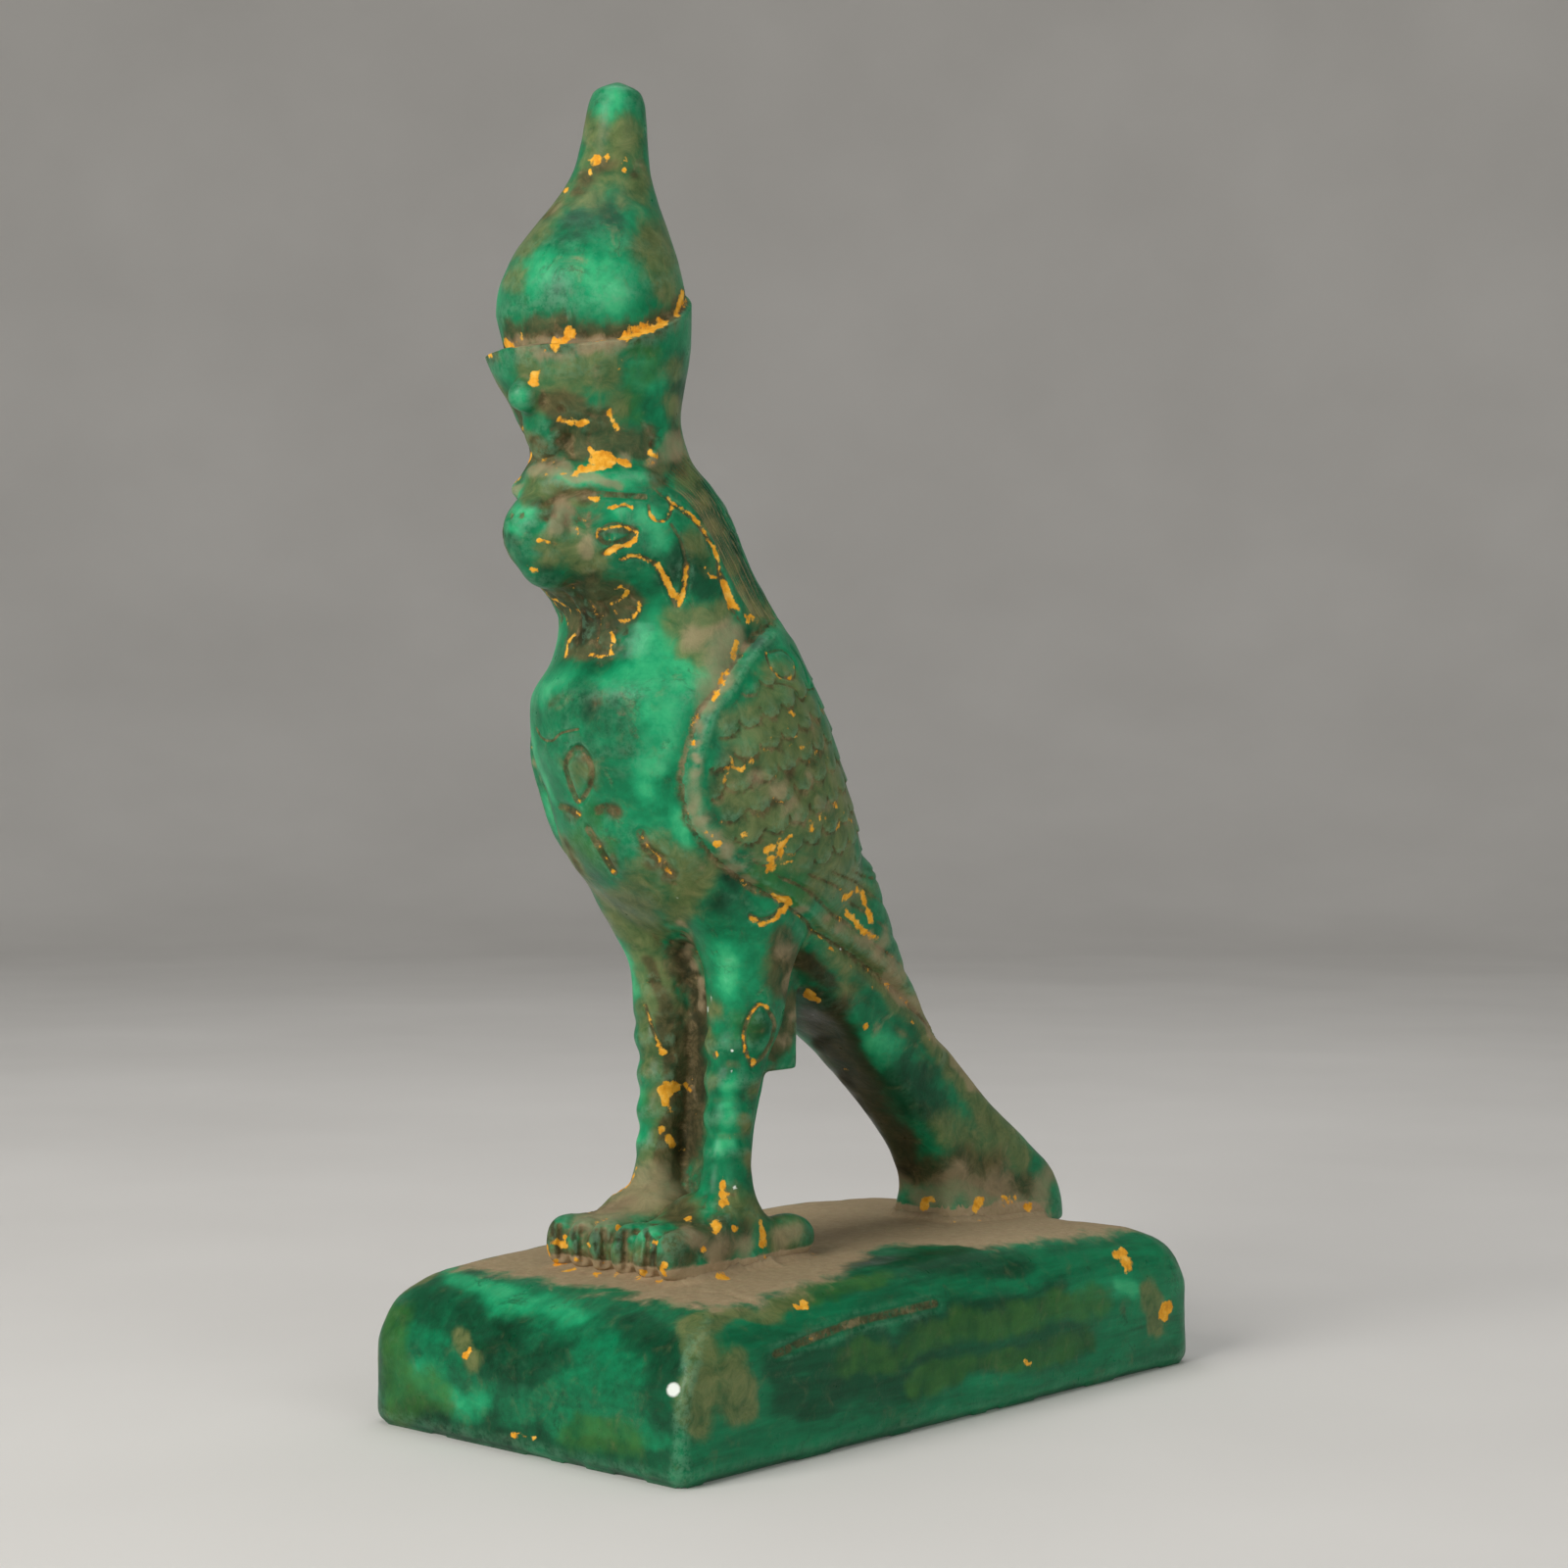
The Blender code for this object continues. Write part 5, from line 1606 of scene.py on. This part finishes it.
def write_fields(mesh, trees, tree, lines, strands, spots):
    """Keep what the stone's material needs to know at each vertex."""
    places = vertex_places(mesh)
    height = skin_height(mesh) / MM
    cuts = [line for line in lines if line.height < 0.0]
    ragged = warped(places, patch_warps)
    fields = {kind: patch_share(ragged, spots[kind]) for kind in (*tints, *stains)}
    fields["pigment"] = pigment_depth(warped(places, pigment_warps), lines, spots["ochre"])
    fields["painted_glint"] = patch_share(places, spots["painted_glint"])
    fields["cut"] = line_share(places, cuts, near_drawn_line, line_reach)
    fields["strand"] = line_share(places, strands, near_line, strand_reach)
    fields["groove"] = np.clip(-height / full_relief, 0.0, 1.0)
    fields["ridge"] = np.clip(height / full_relief, 0.0, 1.0)
    # Painted shade: how sheltered each vertex is, which darkens it in the material
    fields["shelter"] = shelter(mesh, tree)
    fields["dust_cover"] = dust_cover(places, trees)
    for name, values in fields.items():
        mesh.attributes.new(name, "FLOAT", "POINT").data.foreach_set("value", values.astype(np.float32))


class Recipe:
    """One material, with short ways to add nodes to it."""

    def __init__(self, name):
        self.material = bpy.data.materials.new(name)
        self.material.use_nodes = True
        self.tree = self.material.node_tree
        self.shader = self.tree.nodes["Principled BSDF"]
        self.where = self.node("ShaderNodeTexCoord", {}).outputs["Object"]
        self.clouds = {}

    def feed(self, socket, source):
        """Set a socket to a value, or link it to another node's socket."""
        if isinstance(source, bpy.types.NodeSocket):
            self.tree.links.new(source, socket)
        else:
            socket.default_value = source

    def node(self, kind, sources, **settings):
        """A new node with its settings, and its sockets set or linked."""
        node = self.tree.nodes.new(kind)
        for name, value in settings.items():
            setattr(node, name, value)
        for place, source in sources.items():
            self.feed(node.inputs[place], source)
        return node

    def cloud(self, kind, where=None):
        """The material's noise of this kind, between 0 and 1, which is made once."""
        if kind not in self.clouds:
            sources = dict(zip(("Scale", "Detail", "Roughness", "Distortion"), clouds[kind]))
            sources["Vector"] = self.where if where is None else where
            self.clouds[kind] = self.node("ShaderNodeTexNoise", sources).outputs[0]
        return self.clouds[kind]

    def calc(self, operation, first, second=0.0, clamp=False):
        """One sum of two values."""
        sources = {0: first, 1: second}
        return self.node("ShaderNodeMath", sources, operation=operation, use_clamp=clamp).outputs[0]

    def plus(self, first, second):
        """The two values added."""
        return self.calc("ADD", first, second)

    def times(self, first, second):
        """The two values multiplied."""
        return self.calc("MULTIPLY", first, second)

    def most(self, *values):
        """The largest of the values."""
        return reduce(partial(self.calc, "MAXIMUM"), values)

    def swing(self, value, reach):
        """The value less a half, times the reach."""
        return self.times(self.calc("SUBTRACT", value, 0.5), reach)

    def climb(self, value, limits):
        """0 where the value is at or under the low limit, 1 from the high one, with a soft bend between."""
        low, high = limits
        sources = {"Value": value, "From Min": low, "From Max": high}
        return self.node("ShaderNodeMapRange", sources, interpolation_type="SMOOTHSTEP").outputs[0]

    def ramp(self, value, stops):
        """A colour that follows the value through the stops."""
        node = self.node("ShaderNodeValToRGB", {"Fac": value})
        elements = node.color_ramp.elements
        while len(elements) < len(stops):
            elements.new(0.5)
        for element, (place, color) in zip(elements, stops):
            element.position = place
            element.color = (*color, 1.0)
        return node.outputs[0]

    def paint(self, share, under, over):
        """One colour laid over another, which may be three plain numbers."""
        over = (*over, 1.0) if isinstance(over, tuple) else over
        return self.node("ShaderNodeMixRGB", {"Fac": share, "Color1": under, "Color2": over}).outputs[0]

    def field(self, name):
        """A number that the mesh keeps for each vertex."""
        return self.node("ShaderNodeAttribute", {}, attribute_name=name).outputs["Fac"]

    def roughen(self, height, strength):
        """Bumps too small for the mesh."""
        sources = {"Height": height, "Strength": strength, "Distance": bump_height}
        self.feed(self.shader.inputs["Normal"], self.node("ShaderNodeBump", sources).outputs[0])


def marbled(stone, tone, contrast, stretch, tilt):
    """The stone's marbled green, before wear and dirt, with lighter patches that are partly painted
    highlights.
    """
    mapping = {"Vector": stone.where, "Scale": stretch, "Rotation": tilt}
    along = stone.node("ShaderNodeMapping", mapping).outputs[0]
    for kind, reach in marbling:
        tone = stone.plus(tone, stone.swing(stone.cloud(kind, along), reach * contrast))
    tone = stone.plus(tone, stone.swing(stone.cloud("grainy", along), grainy_swing))
    for kind, reach in tints.items():
        tone = stone.plus(tone, stone.times(stone.field(kind), reach * contrast))
    return stone.ramp(tone, stone_tones)


def veined(stone, color):
    """Thin dark veins, in places only."""
    off_middle = stone.calc("ABSOLUTE", stone.swing(stone.cloud("veins"), 1.0))
    vein = stone.calc("SUBTRACT", 1.0, stone.climb(off_middle, vein_width))
    vein = stone.times(vein, stone.climb(stone.cloud("patchy"), vein_places))
    return stone.paint(stone.times(vein, vein_share), color, vein_color)


def stained(stone, color, kind):
    """The colour with one kind of stain laid over it (the shade kinds are painted shade), blotchy where it
    is thin, and its share.
    """
    share, cloud, tones = stains[kind]
    blotches = stone.cloud(cloud)
    blotchy = stone.plus(stone.field(kind), stone.swing(blotches, stain_blotchiness))
    over = stone.times(stone.climb(blotchy, (0.0, 1.0)), share)
    return stone.paint(over, color, stone.ramp(blotches, tones)), over


def worn_and_highlit(stone, color):
    """Pale wear and painted highlight on the ridges."""
    edge = stone.climb(stone.field("ridge"), ridge_limits)
    edge = stone.times(edge, stone.climb(stone.cloud("speckle"), worn_highlight_speckle))
    return stone.paint(stone.times(edge, worn_highlight_share), color, worn_highlight_color)


def dirtied_and_shaded(stone, color, groove):
    """Painted shade in the sheltered places and dirt in the grooves and the cut lines, as one layer, and
    its share.
    """
    sheltered = stone.times(stone.climb(stone.field("shelter"), shelter_limits), shelter_shade_share)
    dirt_and_shade = stone.most(sheltered, groove, stone.climb(stone.field("cut"), cut_limits))
    dirt_and_shade = stone.times(dirt_and_shade, stone.climb(stone.cloud("speckle"), dirt_and_shade_speckle))
    tones = stone.ramp(stone.cloud("blotches"), dirt_and_shade_tones)
    return stone.paint(stone.times(dirt_and_shade, dirt_and_shade_share), color, tones), dirt_and_shade


def dusty(stone, color):
    """The dust that covers the plinth's top, and its share."""
    cover = stone.plus(stone.field("dust_cover"), stone.swing(stone.cloud("patchy"), cover_patchiness))
    cover = stone.times(stone.climb(cover, cover_limits), cover_share)
    return stone.paint(cover, color, stone.ramp(stone.cloud("speckle"), dust_tones)), cover


def pigmented(stone, color, groove):
    """What is left of the yellow pigment, with flecks of it in the grooves, and its share."""
    ragged = stone.plus(stone.field("pigment"), stone.swing(stone.cloud("edges"), pigment_raggedness))
    flecks = stone.times(groove, stone.climb(stone.cloud("flecks"), fleck_limits))
    flecks = stone.times(flecks, stone.climb(stone.cloud("speckle"), fleck_speckle))
    pigment = stone.most(stone.climb(ragged, pigment_limits), flecks)
    return stone.paint(pigment, color, stone.ramp(stone.cloud("pigment"), pigment_tones)), pigment


def stone_material(name, tone, contrast, stretch, tilt):
    """Marbled green stone with stains, dirt, dust, yellow pigment and worn edges, with painted shade in its
    recesses and painted highlights on its ridges, glints and lighter patches.
    """
    stone = Recipe(name)
    groove = stone.climb(stone.field("groove"), groove_limits)
    color = veined(stone, marbled(stone, tone, contrast, stretch, tilt))
    color, _ = stained(stone, color, "leaf")
    color, _ = stained(stone, color, "olive")
    color, brown_and_shade = stained(stone, color, "brown_and_shade")
    # Painted shade on the tail's inner face, between the legs and in the toe gaps
    color, _ = stained(stone, color, "shade")
    # Painted highlights on the ridges; painted shade in the sheltered places, with dirt in the grooves and
    # cut lines
    color, dirt_and_shade = dirtied_and_shaded(stone, worn_and_highlit(stone, color), groove)
    color = stone.paint(stone.times(stone.field("strand"), strand_share), color, strand_color)
    color, loose = stained(stone, color, "dust")
    color, cover = dusty(stone, color)
    color, pigment = pigmented(stone, color, groove)
    # Painted highlights: the white glints
    color = stone.paint(stone.climb(stone.field("painted_glint"), glint_limits), color, glint_color)
    stone.feed(stone.shader.inputs["Base Color"], color)

    matt = stone.most(cover, loose, pigment, stone.times(stone.most(dirt_and_shade, brown_and_shade), dirt_and_shade_matt))
    gloss = stone.plus(stone_roughness, stone.swing(stone.cloud("gloss"), roughness_swing))
    roughness = stone.calc("ADD", gloss, stone.times(matt, matt_roughness), clamp=True)
    stone.feed(stone.shader.inputs["Roughness"], roughness)
    grain = stone.times(stone.cloud("speckle"), stone.plus(matt, polished_grain))
    stone.roughen(stone.plus(grain, stone.times(stone.cloud("blotches"), blotch_grain)), grain_strength)

    for socket_name, value in stone_shine.items():
        stone.shader.inputs[socket_name].default_value = value
    return stone.material


def floor_material():
    """Matt pale paper with a faint tooth."""
    paper = Recipe("pale_paper")
    paper.feed(paper.shader.inputs["Base Color"], paper.ramp(paper.cloud("paper"), floor_tones))
    paper.roughen(paper.cloud("tooth"), tooth_strength)
    paper.shader.inputs["Roughness"].default_value = paper_roughness
    return paper.material


def clothe(thing, material):
    """Give the object this material and a smooth skin."""
    thing.data.materials.clear()
    thing.data.materials.append(material)
    thing.data.shade_smooth()


def cove(name, collection):
    """A round pale floor that bends up into a wall."""
    profile = [(cove_flat, 0.0)]
    for step in range(1, cove_steps + 1):
        angle = 0.5 * math.pi * step / cove_steps
        profile.append((cove_flat + cove_bend * math.sin(angle), cove_bend * (1.0 - math.cos(angle))))
    profile.append((cove_flat + cove_bend, cove_wall))
    shape = bmesh.new()
    middle = shape.verts.new((0.0, 0.0, 0.0))
    turns = [2.0 * math.pi * step / cove_sides for step in range(cove_sides)]
    rings = []
    for radius, height in profile:
        rings.append([shape.verts.new((radius * math.cos(a), radius * math.sin(a), height)) for a in turns])
    for step in range(cove_sides):
        following = (step + 1) % cove_sides
        shape.faces.new((middle, rings[0][step], rings[0][following]))
        for inner, outer in zip(rings, rings[1:]):
            shape.faces.new((inner[step], outer[step], outer[following], inner[following]))
    return mesh_object(name, shape, collection)


def add_light(name, place, size, power, color, collection):
    """A soft square light that faces the statuette's middle."""
    light = bpy.data.lights.new(name, "AREA")
    light.size = size
    light.energy = power
    light.color = color
    thing = bpy.data.objects.new(name, light)
    thing.location = place
    thing.rotation_euler = (Vector(place) - Vector(light_aim)).to_track_quat("Z", "Y").to_euler()
    collection.objects.link(thing)


def add_camera(collection):
    """The photograph's camera."""
    lens = bpy.data.cameras.new("photo_camera")
    lens.sensor_width = camera_sensor
    lens.lens = camera_lens
    lens.clip_start = camera_clip_start
    camera = bpy.data.objects.new("photo_camera", lens)
    collection.objects.link(camera)
    turn = Matrix(camera_directions()).transposed().to_4x4()
    camera.matrix_world = Matrix.Translation(camera_place) @ turn
    bpy.context.scene.camera = camera


def studio(collection):
    """Pale floor, soft lights, ambient light and the camera."""
    floor = cove("floor", collection)
    clothe(floor, floor_material())
    for name, place, size, power, color in studio_lights:
        add_light(name, place, size, power, color, collection)
    world = bpy.data.worlds.new("studio")
    world.use_nodes = True
    sky = world.node_tree.nodes["Background"]
    sky.inputs["Color"].default_value = ambient_color
    sky.inputs["Strength"].default_value = ambient_strength
    bpy.context.scene.world = world
    bpy.context.scene.view_settings.view_transform = "Standard"
    add_camera(collection)


def new_collection(name):
    """A collection in the scene."""
    collection = bpy.data.collections.new(name)
    bpy.context.scene.collection.children.link(collection)
    return collection


def main():
    """Build the two skins, mark and clothe them, and set up the studio."""
    noise.seed_set(noise_seed)
    pieces = new_collection("statuette")
    stage = new_collection("studio")

    falcon = joined("falcon", falcon_masses(pieces), pieces)
    blend(falcon)
    block = plinth_solid("plain_block", pieces)
    depsgraph = bpy.context.evaluated_depsgraph_get()
    trees = [BVHTree.FromObject(thing, depsgraph) for thing in (falcon, block)]
    lines = skin_lines(trees)
    strands = nape_strands(trees)
    knobs = skin_knobs(trees)
    spots = skin_patches(trees)
    bpy.data.objects.remove(block)

    refine(falcon, lines + strands)
    carve(falcon, lines + strands, knobs, spots["rough"])
    thin_out(falcon, falcon_triangles)
    falcon_tree = BVHTree.FromObject(falcon, bpy.context.evaluated_depsgraph_get())
    plinth = plinth_skin("plinth", pieces, falcon_tree, lines)

    tree = whole_tree([falcon, plinth])
    for thing, look in ((falcon, falcon_look), (plinth, plinth_look)):
        write_fields(thing.data, trees, tree, lines, strands, spots)
        clothe(thing, stone_material("green_stone_" + thing.name, *look))
        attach(thing, "root")
        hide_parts("falcon_statue")
    studio(stage)


main()
